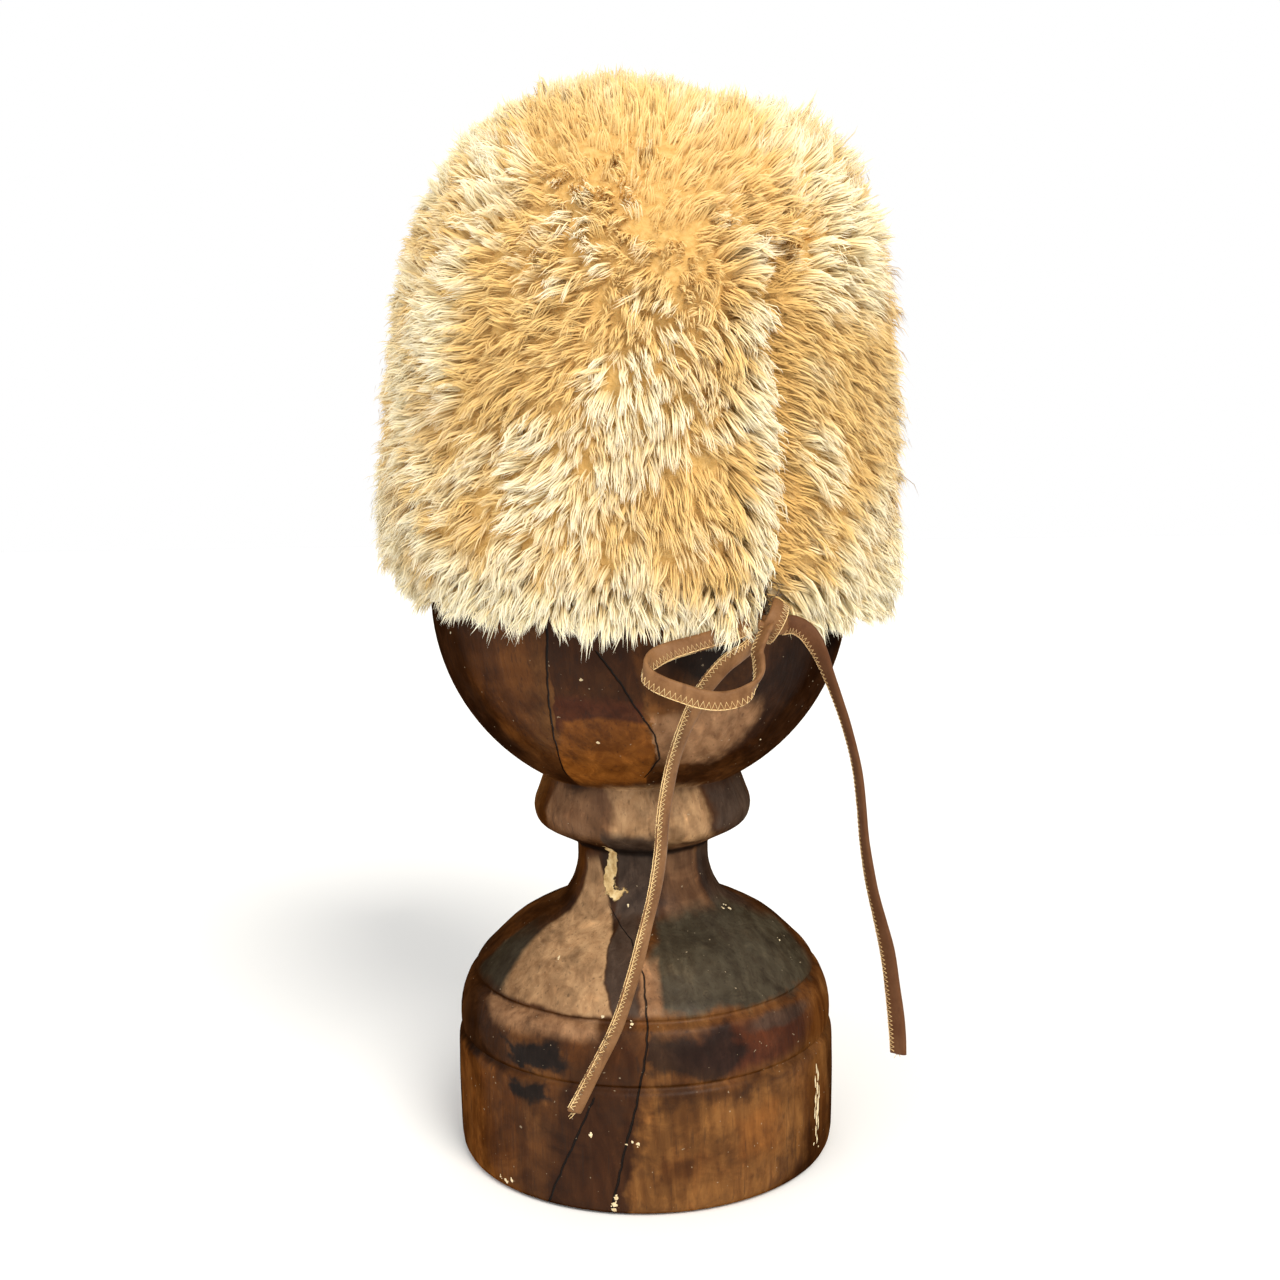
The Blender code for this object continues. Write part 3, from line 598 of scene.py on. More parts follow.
# How the fur lies, read off the photo: place, then the lean sideways and upwards, how unruly, and how pale
FUR_LIES = [
    # degrees, share of the way up, sideways, up, unruly, pale
    (-80, 0.05, -0.35, -0.90, 0.3, 0.75), (-56, 0.10, -0.40, -0.90, 0.3, 0.80), (-32, 0.05, -0.15, -1.00, 0.3, 0.75),
    (-7, 0.05, 0.00, -1.00, 0.2, 0.70), (15, 0.05, 0.05, -1.00, 0.2, 0.60), (37, 0.05, 0.35, -0.90, 0.2, 0.60),
    (57, 0.08, 0.45, -0.85, 0.2, 0.80), (85, 0.10, 0.30, -0.90, 0.3, 0.80), (-80, 0.40, -0.75, -0.45, 0.3, 0.60),
    (-49, 0.43, -0.90, -0.30, 0.3, 0.80), (-31, 0.40, -0.80, -0.40, 0.3, 0.10), (-18, 0.43, -0.60, -0.50, 0.4, 0.05),
    (-7, 0.40, -0.10, -0.90, 0.3, 0.60), (0, 0.30, 0.05, -1.00, 0.2, 0.90), (12, 0.28, 0.15, -1.00, 0.2, 0.45),
    (12, 0.42, 0.25, -0.90, 0.3, 0.35), (24, 0.30, 0.70, -0.60, 0.2, 0.50), (24, 0.15, 0.50, -0.70, 0.2, 0.25),
    (-22, 0.30, -0.45, -0.80, 0.3, 0.50), (-42, 0.22, -0.70, -0.60, 0.3, 0.15), (-48, 0.30, -0.80, -0.40, 0.3, 0.80),
    (-31, 0.20, -0.50, -0.70, 0.4, 0.40), (4, 0.15, 0.00, -1.00, 0.2, 0.35), (-15, 0.50, -0.80, -0.20, 0.4, 0.15),
    (-3, 0.50, -0.45, -0.60, 0.5, 0.15), (-44, 0.53, -0.90, 0.10, 0.5, 0.60), (-16, 0.60, -0.75, -0.30, 0.6, 0.70),
    (-5, 0.60, -0.35, -0.45, 0.6, 0.55), (-3, 0.66, 0.10, 0.60, 0.3, 0.15), (6, 0.65, 0.45, 0.55, 0.2, 0.10),
    (26, 0.60, 0.80, 0.10, 0.5, 0.40), (-8, 0.77, -0.10, 0.90, 0.1, 0.15), (22, 0.75, 0.35, 0.85, 0.1, 0.20),
    (-29, 0.76, -0.50, 0.80, 0.3, 0.60), (33, 0.76, 0.55, 0.75, 0.2, 0.70), (-50, 0.67, -0.80, 0.50, 0.4, 0.75),
    (70, 0.67, 0.60, 0.40, 0.3, 0.75), (42, 0.58, 0.60, 0.30, 0.5, 0.75), (53, 0.53, 0.70, -0.50, 0.5, 0.90),
    (58, 0.45, 0.60, -0.70, 0.0, 0.34), (46, 0.48, 0.50, -0.75, 0.0, 0.30), (45, 0.40, 0.45, -0.85, 0.0, 0.40),
    (59, 0.30, 0.50, -0.80, 0.0, 0.48), (38, 0.25, 0.50, -0.80, 0.1, 0.52), (49, 0.15, 0.50, -0.80, 0.1, 0.44),
    (85, 0.40, 0.40, -0.80, 0.1, 0.50), (2, 0.87, 0.00, 1.00, 0.3, 0.75), (21, 0.87, 0.30, 0.90, 0.1, 0.85),
    (-40, 0.87, -0.50, 0.80, 0.3, 0.60), (60, 0.87, 0.70, 0.60, 0.1, 0.60), (0, 0.96, 0.00, 1.00, 0.3, 0.25),
    (90, 0.95, 0.90, 0.00, 0.3, 0.40), (-90, 0.95, -0.90, 0.00, 0.3, 0.50), (180, 0.96, 0.00, -1.00, 0.3, 0.30),
    (-130, 0.80, -0.65, -0.75, 0.3, 0.45), (130, 0.80, 0.65, -0.75, 0.3, 0.40), (180, 0.80, 0.00, -1.00, 0.3, 0.30),
    (-100, 0.62, -0.80, -0.40, 0.3, 0.45), (110, 0.62, 0.60, -0.60, 0.3, 0.45), (150, 0.62, 0.25, -0.95, 0.3, 0.50),
    (-150, 0.62, -0.25, -0.95, 0.3, 0.30), (-110, 0.40, -0.40, -0.80, 0.3, 0.30), (115, 0.40, 0.30, -0.90, 0.3, 0.30),
    (-145, 0.42, -0.15, -1.00, 0.3, 0.60), (145, 0.42, 0.15, -1.00, 0.3, 0.50), (180, 0.40, 0.00, -1.00, 0.3, 0.25),
    (-120, 0.20, -0.20, -1.00, 0.3, 0.60), (120, 0.20, 0.20, -1.00, 0.3, 0.70), (165, 0.22, 0.10, -1.00, 0.3, 0.60),
    (-165, 0.22, -0.10, -1.00, 0.3, 0.35), (-110, 0.05, -0.20, -1.00, 0.2, 0.75), (110, 0.05, 0.20, -1.00, 0.2, 0.75),
    (150, 0.05, 0.05, -1.00, 0.2, 0.70), (-150, 0.05, -0.05, -1.00, 0.2, 0.75), (-75, 0.82, -0.90, 0.30, 0.3, 0.40),
    (-105, 0.80, -0.95, -0.25, 0.3, 0.35), (100, 0.80, 0.95, -0.15, 0.3, 0.40), (-80, 0.58, -0.95, -0.10, 0.3, 0.50),
    (-125, 0.60, -0.60, -0.70, 0.3, 0.40), (130, 0.58, 0.45, -0.80, 0.3, 0.45), (180, 0.62, 0.00, -1.00, 0.3, 0.45),
    (-95, 0.48, -0.60, -0.70, 0.3, 0.35), (100, 0.48, 0.40, -0.85, 0.3, 0.40), (-120, 0.93, -0.85, -0.50, 0.3, 0.40),
    (125, 0.93, 0.80, -0.55, 0.3, 0.35),
]
FUR_REACH = [
    # share of the way up, out from the skin, along the skin
    (0.00, 0.50, 0.68), (0.05, 0.76, 0.86), (0.10, 0.94, 0.90), (0.30, 1.00, 0.84), (0.55, 1.00, 0.74),
    (0.80, 1.00, 0.62), (1.00, 1.00, 0.50),
]
# Where the pile stands fuller or lower than elsewhere
FULLNESS = [
    # degrees, share of the way up, half width, half height, change
    (-88, 0.60, 48, 0.30, -0.36), (88, 0.70, 38, 0.12, 0.42), (85, 0.55, 38, 0.15, 0.14), (-80, 0.01, 36, 0.06, -0.55),
    (85, 0.01, 34, 0.06, 0.36), (72, 0.84, 46, 0.075, -0.50),
]
LOCKS, RIM_LOCKS, STRANDS, CLUMPS = 15600, 900, 10, 2700
LEVELS = np.array([0.0, 0.40, 0.75, 1.0])


def rough(points, scale, shift):
    """Smooth noise vectors at these points."""
    return np.array([noise.noise_vector(Vector(p) * scale + Vector((shift, 0.0, 0.0))) for p in points])


def fullness(angle, share):
    """How full the pile is at these places, 1 being its usual height."""
    full = np.ones(len(angle))
    for at, low, wide, tall, change in FULLNESS:
        turn = (np.degrees(angle) - at + 180) % 360 - 180
        full += change * np.exp(-((turn / wide) ** 2) - ((share - low) / tall) ** 2)
    return full


def lock_roots(count, jitter):
    """Evenly spread roots over the skin, as angles and lengths up from the rim."""
    at = np.linspace(0.0, TALL, 400)
    radius = np.interp(at, SECTION_AT, SECTION[:, 0]) + SKIN_OUT
    area = np.concatenate([[0.0], np.cumsum((radius[1:] + radius[:-1]) / 2 * np.diff(at))])
    i = np.arange(count)
    length = np.interp((i + 0.5) / count * area[-1], area, at)
    angle = (i * 2.39996323 + math.pi) % (2 * math.pi) - math.pi
    angle = angle + chance.normal(0, jitter, count) / np.maximum(np.interp(length, at, radius), 0.004)
    length = np.clip(length + chance.normal(0, jitter, count), 0.0004, TALL - 0.0004)
    low = rim_length(angle)
    length = low + length * (1 - low / TALL)
    gap = np.abs(angle - SLIT_ANGLE) * (INNER_RADIUS + SKIN_OUT)
    opening = np.maximum(0.0, SLIT_WIDE / 2 * (1 - (length - low) / SLIT_TALL)) * 0.8 + 0.0008
    keep = (gap > opening) | (length > TALL * SEAM_SHARE)
    return angle[keep], length[keep]


def rim_roots(count):
    """A thicker fringe of roots just above the rim."""
    open_by = SLIT_WIDE / 2 / INNER_RADIUS + 0.01
    angle = SLIT_ANGLE + open_by + (2 * math.pi - 2 * open_by) * (np.arange(count) + 0.5) / count
    angle = (angle + math.pi) % (2 * math.pi) - math.pi
    return angle, rim_length(angle) + chance.uniform(0.0004, 0.0060, count)


def clump_of(root, arc, by_seam):
    """The middle of each lock's clump and four random numbers that the clump's locks share."""
    angle, length = lock_roots(CLUMPS, 0.0022)
    middle = crown_place(angle, length, SKIN_OUT)[0]
    tree = KDTree(len(middle))
    for i, p in enumerate(middle):
        tree.insert(p, i)
    tree.balance()
    near = np.array([tree.find(p)[1] for p in root])
    found = middle[near]
    other = (angle[near] - SLIT_ANGLE) * (INNER_RADIUS + SKIN_OUT)
    across = by_seam & (other * arc < 0)
    found[across] = root[across]
    return found, chance.normal(0, 1, (len(middle), 5))[near]


def fur_field(points, out):
    """The lean, unruliness and paleness at these points."""
    table = np.array(FUR_LIES)
    at, at_out, up, side = crown_place(np.radians(table[:, 0]), table[:, 1] * TALL, SKIN_OUT)
    lean = side * table[:, 2:3] + up * table[:, 3:4]
    found = np.zeros((len(points), 5))
    for first in range(0, len(points), 4000):
        part = points[first : first + 4000]
        gaps = np.sum((part[:, None] - at[None]) ** 2, axis=2)
        weight = np.exp(-gaps / (2 * 0.013**2)) + 1e-9 / (gaps + 1e-4)
        weight = weight / weight.sum(axis=1, keepdims=True)
        found[first : first + 4000] = weight @ np.hstack([lean, table[:, 4:6]])
    lean = found[:, :3] + rough(points, 55.0, 0.0) * (0.24 + 0.9 * found[:, 3:4])
    lean = lean + rough(points, 130.0, 9.0) * (0.22 + 0.6 * found[:, 3:4]) + chance.normal(0, 0.06, points.shape)
    lean = lean - out * np.sum(lean * out, axis=1, keepdims=True)
    return lean, found[:, 3], found[:, 4]


def part_at_seam(points, arc, share):
    """Keep the strands of the two edges of the back seam apart, and open the slit below it."""
    turn = np.arctan2(points[..., 0], -points[..., 1]) - SLIT_ANGLE
    radius = np.hypot(points[..., 0], points[..., 1])
    skin = INNER_RADIUS + SKIN_OUT
    up = np.clip((points[..., 2] - RIM + 0.004) / (SLIT_TALL + 0.010), 0, 1)
    crossing = chance.random(points.shape[:2])[..., None] < 0.16
    at = turn * radius
    tall = np.clip(radius - skin, 0.0, 0.02)
    limit = -(1 - up) * (0.0016 + 0.45 * tall) + np.where(crossing, 0.0055, 0.0004) * up
    limit_right = (1 - up) * 0.0048 + 0.0010
    low = (share < SEAM_SHARE - 0.02)[:, None, None]
    moved = np.where(low & (arc < 0)[:, None, None] & (arc > -0.03)[:, None, None], np.minimum(at, limit), at)
    moved = np.where(low & (arc > 0)[:, None, None] & (arc < 0.03)[:, None, None], np.maximum(at, limit_right), moved)
    turn = SLIT_ANGLE + moved / radius
    return np.stack([np.sin(turn) * radius, -np.cos(turn) * radius, points[..., 2]], axis=-1)


def make_fur():
    """Every strand's points, width direction, shading normal and colour numbers, lock by lock; the colour numbers carry
    painted light and shade.
    """
    angle, length = (np.concatenate(pair) for pair in zip(lock_roots(LOCKS, 0.0011), rim_roots(RIM_LOCKS)))
    count = len(angle)
    share = np.clip(length / TALL, 0.0, 1.0)
    root, out, up, side = crown_place(angle, length, SKIN_OUT)
    lean, unruly, pale = fur_field(root, out)
    arc = (angle - SLIT_ANGLE) * (INNER_RADIUS + SKIN_OUT)
    by_seam = share < SEAM_SHARE
    hanging = np.exp(-(((np.degrees(angle) - 18.0) / 1.8) ** 2)) * np.clip(1.3 - share / 0.05, 0, 1)
    full = fullness(angle, share)
    clump, numbers = clump_of(root, arc, by_seam)
    fringe = np.clip(1 - share / 0.08, 0, 1)
    apart = (0.07 + 0.42 * unruly)[:, None]
    lean = lean + (side * numbers[:, :1] + up * numbers[:, 1:2]) * apart

    left = by_seam & (arc < 0) & (arc > -0.024)
    right = by_seam & (arc > 0) & (arc < 0.020)
    near = np.clip(1 - np.abs(arc) / 0.018, 0, 1)
    push = np.where(left, 0.35, np.where(right, 0.95, 0.0)) * near - 0.50 * hanging
    lean = lean + side * push[:, None]
    lean = unit(lean) * np.clip(np.linalg.norm(lean, axis=1, keepdims=True), 0.42, 1.0)
    middle = crown_place(math.radians(-1.0), 0.685 * TALL, SKIN_OUT)[0]
    plush = np.exp(-np.sum((root - middle) ** 2, axis=1) / 0.020**2)
    lean = lean * (1 - 0.55 * plush[:, None])
    swell = rough(root, 42.0, 30.0)[:, 0]

    table = np.array(FUR_REACH)
    high = chance.normal(0.85, 0.07, count) * (1 + 0.16 * swell + 0.05 * numbers[:, 2])
    reach = chance.normal(0.74, 0.12, count) * (1 + 0.10 * numbers[:, 3])
    short = np.where(left, np.clip(0.86 + np.abs(arc) / 0.040, 0, 1), 1.0)
    short = np.where(right, np.clip(0.16 + np.abs(arc) / 0.021, 0, 1), short)
    high = PILE * np.interp(share, table[:, 0], table[:, 1]) * high * short
    reach = PILE * np.interp(share, table[:, 0], table[:, 2]) * reach * np.sqrt(short)
    reach = reach * (1 - 0.30 * np.clip(unruly - 0.4, 0, 1))
    reach = np.maximum(reach * (1 + 0.14 * fringe * numbers[:, 4] + 0.50 * hanging), 0.002)
    high = high * (1 + 1.2 * hanging) * full
    reach = reach * (0.5 + 0.5 * full)
    t = LEVELS[None, :, None]
    rise = 1 - (1 - t) ** 1.9
    lay = t**1.65
    cross = np.cross(out, lean)
    phase = chance.uniform(0, 2 * math.pi, (count, 1, 1))
    swing = np.clip(chance.normal(0.0011, 0.0005, (count, 1, 1)), 0, None)
    swing = swing * (0.55 + 1.5 * unruly)[:, None, None]
    wave = np.sin(phase + 4.2 * t) - np.sin(phase)
    line = root[:, None] + out[:, None] * high[:, None, None] * rise + lean[:, None] * reach[:, None, None] * lay
    line = line + cross[:, None] * swing * wave * t + out[:, None] * swing * 0.5 * np.cos(phase + 5.0 * t) * t
    drawn = clump - root
    drawn = drawn - out * np.sum(drawn * out, axis=1, keepdims=True)
    drawn = drawn * np.clip(0.16 + 0.66 * unruly + 0.12 * numbers[:, 3] + 0.25 * fringe, 0.05, 0.8)[:, None]
    line = line + drawn[:, None] * t**1.2

    spread = np.sqrt(chance.random((count, STRANDS))) * 0.0023
    turn = chance.uniform(0, 2 * math.pi, (count, STRANDS))
    offset = side[:, None] * (spread * np.cos(turn))[..., None] + up[:, None] * (spread * np.sin(turn))[..., None]
    gather = np.clip(0.50 + 0.12 * chance.normal(0, 1, count) + 0.25 * fringe, 0.1, 0.85)[:, None, None, None]
    shrink = 1 - gather * LEVELS[None, None, :, None] ** 0.9
    grown = 1 + chance.normal(0, 1, (count, STRANDS, 1, 1)) * (0.08 + 0.12 * fringe)[:, None, None, None]
    grown = np.clip(grown, 0.6, 1.25)
    points = root[:, None, None] + (line - root[:, None])[:, None] * grown + offset[:, :, None] * shrink
    stray = np.where(chance.random((count, STRANDS)) < 0.06, 0.0018, 0.0005)[..., None, None]
    points = points + chance.normal(0, 1, (count, STRANDS, 1, 3)) * stray * LEVELS[None, None, :, None] ** 1.5
    points = part_at_seam(points, arc, share)

    along = unit(np.gradient(points, axis=2))
    outward = np.broadcast_to(out[:, None, None], points.shape)
    level = unit(np.cross(along, outward))
    facing = np.cross(level, along)
    twist = chance.uniform(-0.75, 0.75, (count, STRANDS, 1, 1))
    across = level * np.cos(twist) + facing * np.sin(twist)
    wide = np.array([0.62, 0.58, 0.42, 0.0])[None, None, :, None] * 0.001
    wide = wide * chance.uniform(0.75, 1.2, (count, STRANDS, 1, 1)) * np.where(stray > 0.001, 0.55, 1.0)
    plump = unit(offset + 1e-6 * out[:, None])[:, :, None]
    combed = np.clip(0.22 + 0.60 * unruly, 0.0, 0.45)[:, None, None, None]
    normal = unit(facing * combed + plump * 0.22 + outward * 0.80)
    # Brightness: the lock's and strand's own chance and the place's paleness, with painted light: 0.40 * swell is a
    # painted highlight on raised pile and painted shade in its hollows, and 0.3 * fringe lightens the fringe, partly
    # its whitish colour and partly painted light where it faces down into shade
    bright_and_painted_light = 0.5 + 0.05 * numbers[:, 3] + 0.40 * swell + 0.25 * (pale - 0.5) + 0.3 * fringe
    # The crown's top is darkened upwards: painted shade, against the key light from above
    bright_and_painted_light = (bright_and_painted_light - 0.30 * np.clip((share - 0.78) / 0.10, 0, 1))[:, None]
    bright_and_painted_light = bright_and_painted_light + chance.normal(0, 0.07, (count, 1)) + chance.normal(0, 0.035, (count, STRANDS))
    bright_and_painted_light = np.clip(bright_and_painted_light, 0, 1)
    edge = by_seam * np.exp(-(((arc + 0.004) / 0.006) ** 2))
    # Paleness: 0.36 * swell is a painted highlight on raised pile and painted shade in its hollows
    tone = (pale + (0.03 + 0.42 * unruly) * numbers[:, 2] + 0.36 * swell + 0.60 * edge)[:, None]
    # Painted shade: darker just right of the back seam, in the valley under the left edge
    tone = tone - 0.50 * (right * np.exp(-((arc / 0.010) ** 2)))[:, None]
    # The fringe is paler: partly its whitish colour, partly painted light where it faces down into shade
    tone = np.clip(tone + 0.90 * fringe[:, None] + hanging[:, None] + chance.normal(0, 0.03, (count, STRANDS)), 0, 1)
    # tip: right of the back seam the strands keep their root colours almost to the tip, painted shade in the seam's
    # valley
    tip = np.where(right & by_seam, np.clip(0.05 + arc / 0.015, 0, 1), 1.0)
    # low: in the plush middle of the front the strands start from paler colours, painted light down between the upright
    # strands
    low = np.minimum(0.45 * plush, tip)
    return angle, share, points, across * wide / 2, normal, bright_and_painted_light, tone, low, tip


def strands_mesh(name, points, half, normal, bright_and_painted_light, tone, low, tip):
    """Narrow tapering ribbons, two quads and a triangle each."""
    count = len(points)
    left, right = points - half, points + half
    levels = [left[:, 0], right[:, 0], left[:, 1], right[:, 1], left[:, 2], right[:, 2], points[:, 3]]
    corners = np.array([0, 1, 3, 2, 2, 3, 5, 4, 4, 5, 6])
    flat = np.stack(levels, axis=1).reshape(-1, 3)
    loops = (np.arange(count)[:, None] * 7 + corners[None]).ravel()
    starts = (np.arange(count)[:, None] * 11 + np.array([0, 4, 8])[None]).ravel()
    mesh = mesh_of(name, flat, loops, starts)
    numbers = np.zeros((count, 7, 3), np.float32)
    # Root to tip colour, held dark right of the back seam and started pale in the plush middle: painted shade and
    # painted light
    numbers[:, :, 0] = low[:, None] + LEVELS[[0, 0, 1, 1, 2, 2, 3]] * (tip - low)[:, None]
    numbers[:, :, 1] = bright_and_painted_light[:, None]
    numbers[:, :, 2] = tone[:, None]
    mesh.attributes.new("fur", "FLOAT_VECTOR", "POINT").data.foreach_set("vector", numbers.ravel())
    columns = math.ceil(math.sqrt(count * 2))
    cell_x, cell_y = 1.0 / columns, 1.0 / math.ceil(count / columns)
    at_x, at_y = np.arange(count) % columns, np.arange(count) // columns
    u = np.array([0.15, 0.85, 0.15, 0.85, 0.15, 0.85, 0.5])[corners]
    v = np.array([0.08, 0.08, 0.40, 0.40, 0.68, 0.68, 0.92])[corners]
    uv = np.stack([(at_x[:, None] + u[None]) * cell_x, (at_y[:, None] + v[None]) * cell_y], axis=-1)
    mesh.uv_layers.new(name="OFBake").data.foreach_set("uv", uv.astype(np.float32).ravel())
    shading = np.repeat(normal[:, [0, 1, 2]], 2, axis=1)
    shading = np.concatenate([shading, normal[:, 3:4]], axis=1).reshape(-1, 3)
    mesh.normals_split_custom_set_from_vertices(shading.astype(np.float32))
    return mesh


def add_fur():
    fur = fur_material()
    angle, share, points, half, normal, bright_and_painted_light, tone, low, tip = make_fur()
    crown = share >= SEAM_SHARE
    sectors = [
        ("crown_fur_left", crown & (angle < 0), "fur_crown_tip"),
        ("crown_fur_right", crown & (angle >= 0), "fur_crown_tip"),
        ("side_fur_front", ~crown & (np.abs(angle) <= math.pi / 3), "fur_side_band"),
        ("side_fur_right", ~crown & (angle > math.pi / 3), "fur_side_band"),
        ("side_fur_left", ~crown & (angle < -math.pi / 3), "fur_side_band"),
    ]
    for name, pick, node in sectors:
        shape = (-1, len(LEVELS), 3)
        mesh = strands_mesh(name, points[pick].reshape(shape), half[pick].reshape(shape), normal[pick].reshape(shape),
                            bright_and_painted_light[pick].ravel(), tone[pick].ravel(), np.repeat(low[pick], STRANDS),
                            np.repeat(tip[pick], STRANDS))
        piece(name, mesh, [fur], "fur", node)
    add_skin()


def add_skin():
    """The fur's skin under the strands, open at the slit."""
    columns, count = 120, 46
    builder = Builder()
    length = np.linspace(0.0, 1.0, count)
    share = np.arange(columns + 1) / columns
    points = []
    for outer in (True, False):
        for at in length:
            open_by = np.full(columns + 1, SLIT_WIDE / 2 / INNER_RADIUS * max(0.0, 1 - at * TALL / SLIT_TALL))
            turn = SLIT_ANGLE + open_by + (2 * math.pi - 2 * open_by) * share
            low = rim_length(turn)
            near = np.minimum(share, 1 - share) * 2 * math.pi * INNER_RADIUS if at < SEAM_SHARE else 1.0
            near = np.clip(near / 0.022, 0, 1) * np.clip(at * TALL / 0.022, 0, 1)
            rise = 0.0104 * near * near * (3 - 2 * near) * np.minimum(fullness(turn, at), 1.0) ** 2
            offset = SKIN_OUT + 0.0004 + rise if outer else SKIN_IN
            points.append(crown_place(turn, low + (TALL - low) * at, offset)[0])
    grid = np.arange(2 * count * (columns + 1)).reshape(2, count, columns + 1)
    faces = []
    for side in (0, 1):
        g = grid[side]
        quads = np.stack([g[:-1, :-1], g[:-1, 1:], g[1:, 1:], g[1:, :-1]], axis=-1).reshape(-1, 4)
        faces.extend(map(tuple, quads if side == 0 else quads[:, ::-1]))
    for k in range(columns):
        faces.append((grid[1, 0, k], grid[1, 0, k + 1], grid[0, 0, k + 1], grid[0, 0, k]))
    for j in range(count - 1):
        faces.append((grid[0, j, 0], grid[0, j + 1, 0], grid[1, j + 1, 0], grid[1, j, 0]))
        faces.append((grid[0, j + 1, -1], grid[0, j, -1], grid[1, j, -1], grid[1, j + 1, -1]))
    builder.add(np.vstack(points), faces)
    piece("fur_skin", builder.mesh("fur_skin"), [underfur_material()], "fur", "fur_side_band", "fur_crown_tip")


# ---- Stand

STAND_OUTLINE = [
    # radius, height, mm
    (0.0, 0.0), (76.0, 0.0), (81.6, 0.4), (83.4, 1.4), (84.2, 3.0), (84.7, 6.0), (84.9, 9.0), (85.1, 20.0),
    (85.25, 33.6), (85.1, 43.0), (85.0, 49.3), (84.7, 52.2), (84.0, 53.6), (82.9, 54.6), (82.3, 55.4),
    (82.7, 56.1), (83.5, 57.0), (83.8, 59.0), (83.75, 65.0), (82.6, 71.0), (80.9, 75.5), (79.6, 78.2),
    (77.6, 79.8), (76.5, 80.6), (76.1, 81.4), (76.6, 82.4), (76.4, 83.4), (74.2, 86.6), (71.2, 89.6),
    (65.6, 95.2), (59.2, 100.8), (49.3, 106.4), (38.1, 112.0), (33.6, 117.6), (31.0, 123.2), (29.5, 129.4),
    (29.3, 135.0), (29.4, 137.6), (30.0, 139.4), (31.4, 140.6), (36.8, 143.7), (43.6, 147.2), (46.6, 149.6),
    (48.0, 152.6), (48.5, 156.1), (47.9, 159.4), (47.0, 161.7), (45.2, 166.7), (44.0, 170.0), (43.65, 171.0),
]

INK, STAIN_AND_EDGE_SHADE, SMOKE, GREEN_BLACK = (0.010, 0.007, 0.006), (0.030, 0.011, 0.004), (0.062, 0.040, 0.028), (0.056, 0.046, 0.029)
UMBER, PLUM, WALNUT = (0.042, 0.014, 0.004), (0.070, 0.018, 0.007), (0.088, 0.029, 0.006)
CHESTNUT, AMBER, RUST = (0.150, 0.052, 0.011), (0.205, 0.086, 0.022), (0.225, 0.076, 0.013)
BROWN, PINK, TAN = (0.190, 0.096, 0.046), (0.310, 0.165, 0.080), (0.460, 0.275, 0.135)
# Blobs of colour on the wood, laid over each other in this order
WOOD_PATCHES = [
    # degrees, mm up, half width, half height, softness, wander, colour, strength
    # The patch at -60 degrees is the ball's dark left side: dark stain, deepened as painted shade where the ball turns
    # away from the light
    (-60, 220, 34, 50, 0.4, 7, STAIN_AND_EDGE_SHADE, 0.97), (-42, 222, 13, 30, 0.7, 7, WALNUT, 0.85), (-34, 236, 6, 26, 0.6, 5, CHESTNUT, 0.60),
    (-42, 200, 10, 12, 0.7, 7, CHESTNUT, 0.55), (-3, 232, 4, 20, 0.5, 2, CHESTNUT, 0.70),
    # The patch at 56 degrees is the ball's dark right side: dark stain, deepened as painted shade where the ball turns
    # away from the light
    (56, 216, 32, 44, 0.45, 7, STAIN_AND_EDGE_SHADE, 0.97), (62, 240, 12, 20, 0.6, 6, INK, 0.80), (20, 192, 26, 8, 0.5, 5, UMBER, 0.92),
    # The patch at -10 degrees, 176 mm up is a painted shadow on the ball's underside, where it sits on the collar
    (-10, 176, 48, 5, 0.8, 4, UMBER, 0.90), (-62, 156, 12, 14, 0.6, 4, WALNUT, 0.85), (68, 160, 16, 14, 0.5, 4, SMOKE, 0.85),
    (-55, 128, 20, 15, 0.5, 4, WALNUT, 0.80), (62, 126, 14, 14, 0.5, 4, UMBER, 0.85), (-20, 71, 5, 8, 0.4, 3, WALNUT, 0.85),
    (-8, 66, 8, 11, 0.5, 3, UMBER, 0.92), (34, 69, 30, 12, 0.45, 4, PLUM, 0.90), (68, 66, 14, 11, 0.5, 5, WALNUT, 0.85),
    (75, 92, 12, 16, 0.5, 4, UMBER, 0.80), (45, 76, 16, 4, 0.5, 3, SMOKE, 0.75), (82, 30, 16, 36, 0.5, 5, UMBER, 0.92),
    (17, 234, 13, 11, 0.6, 4, INK, 0.92),
]
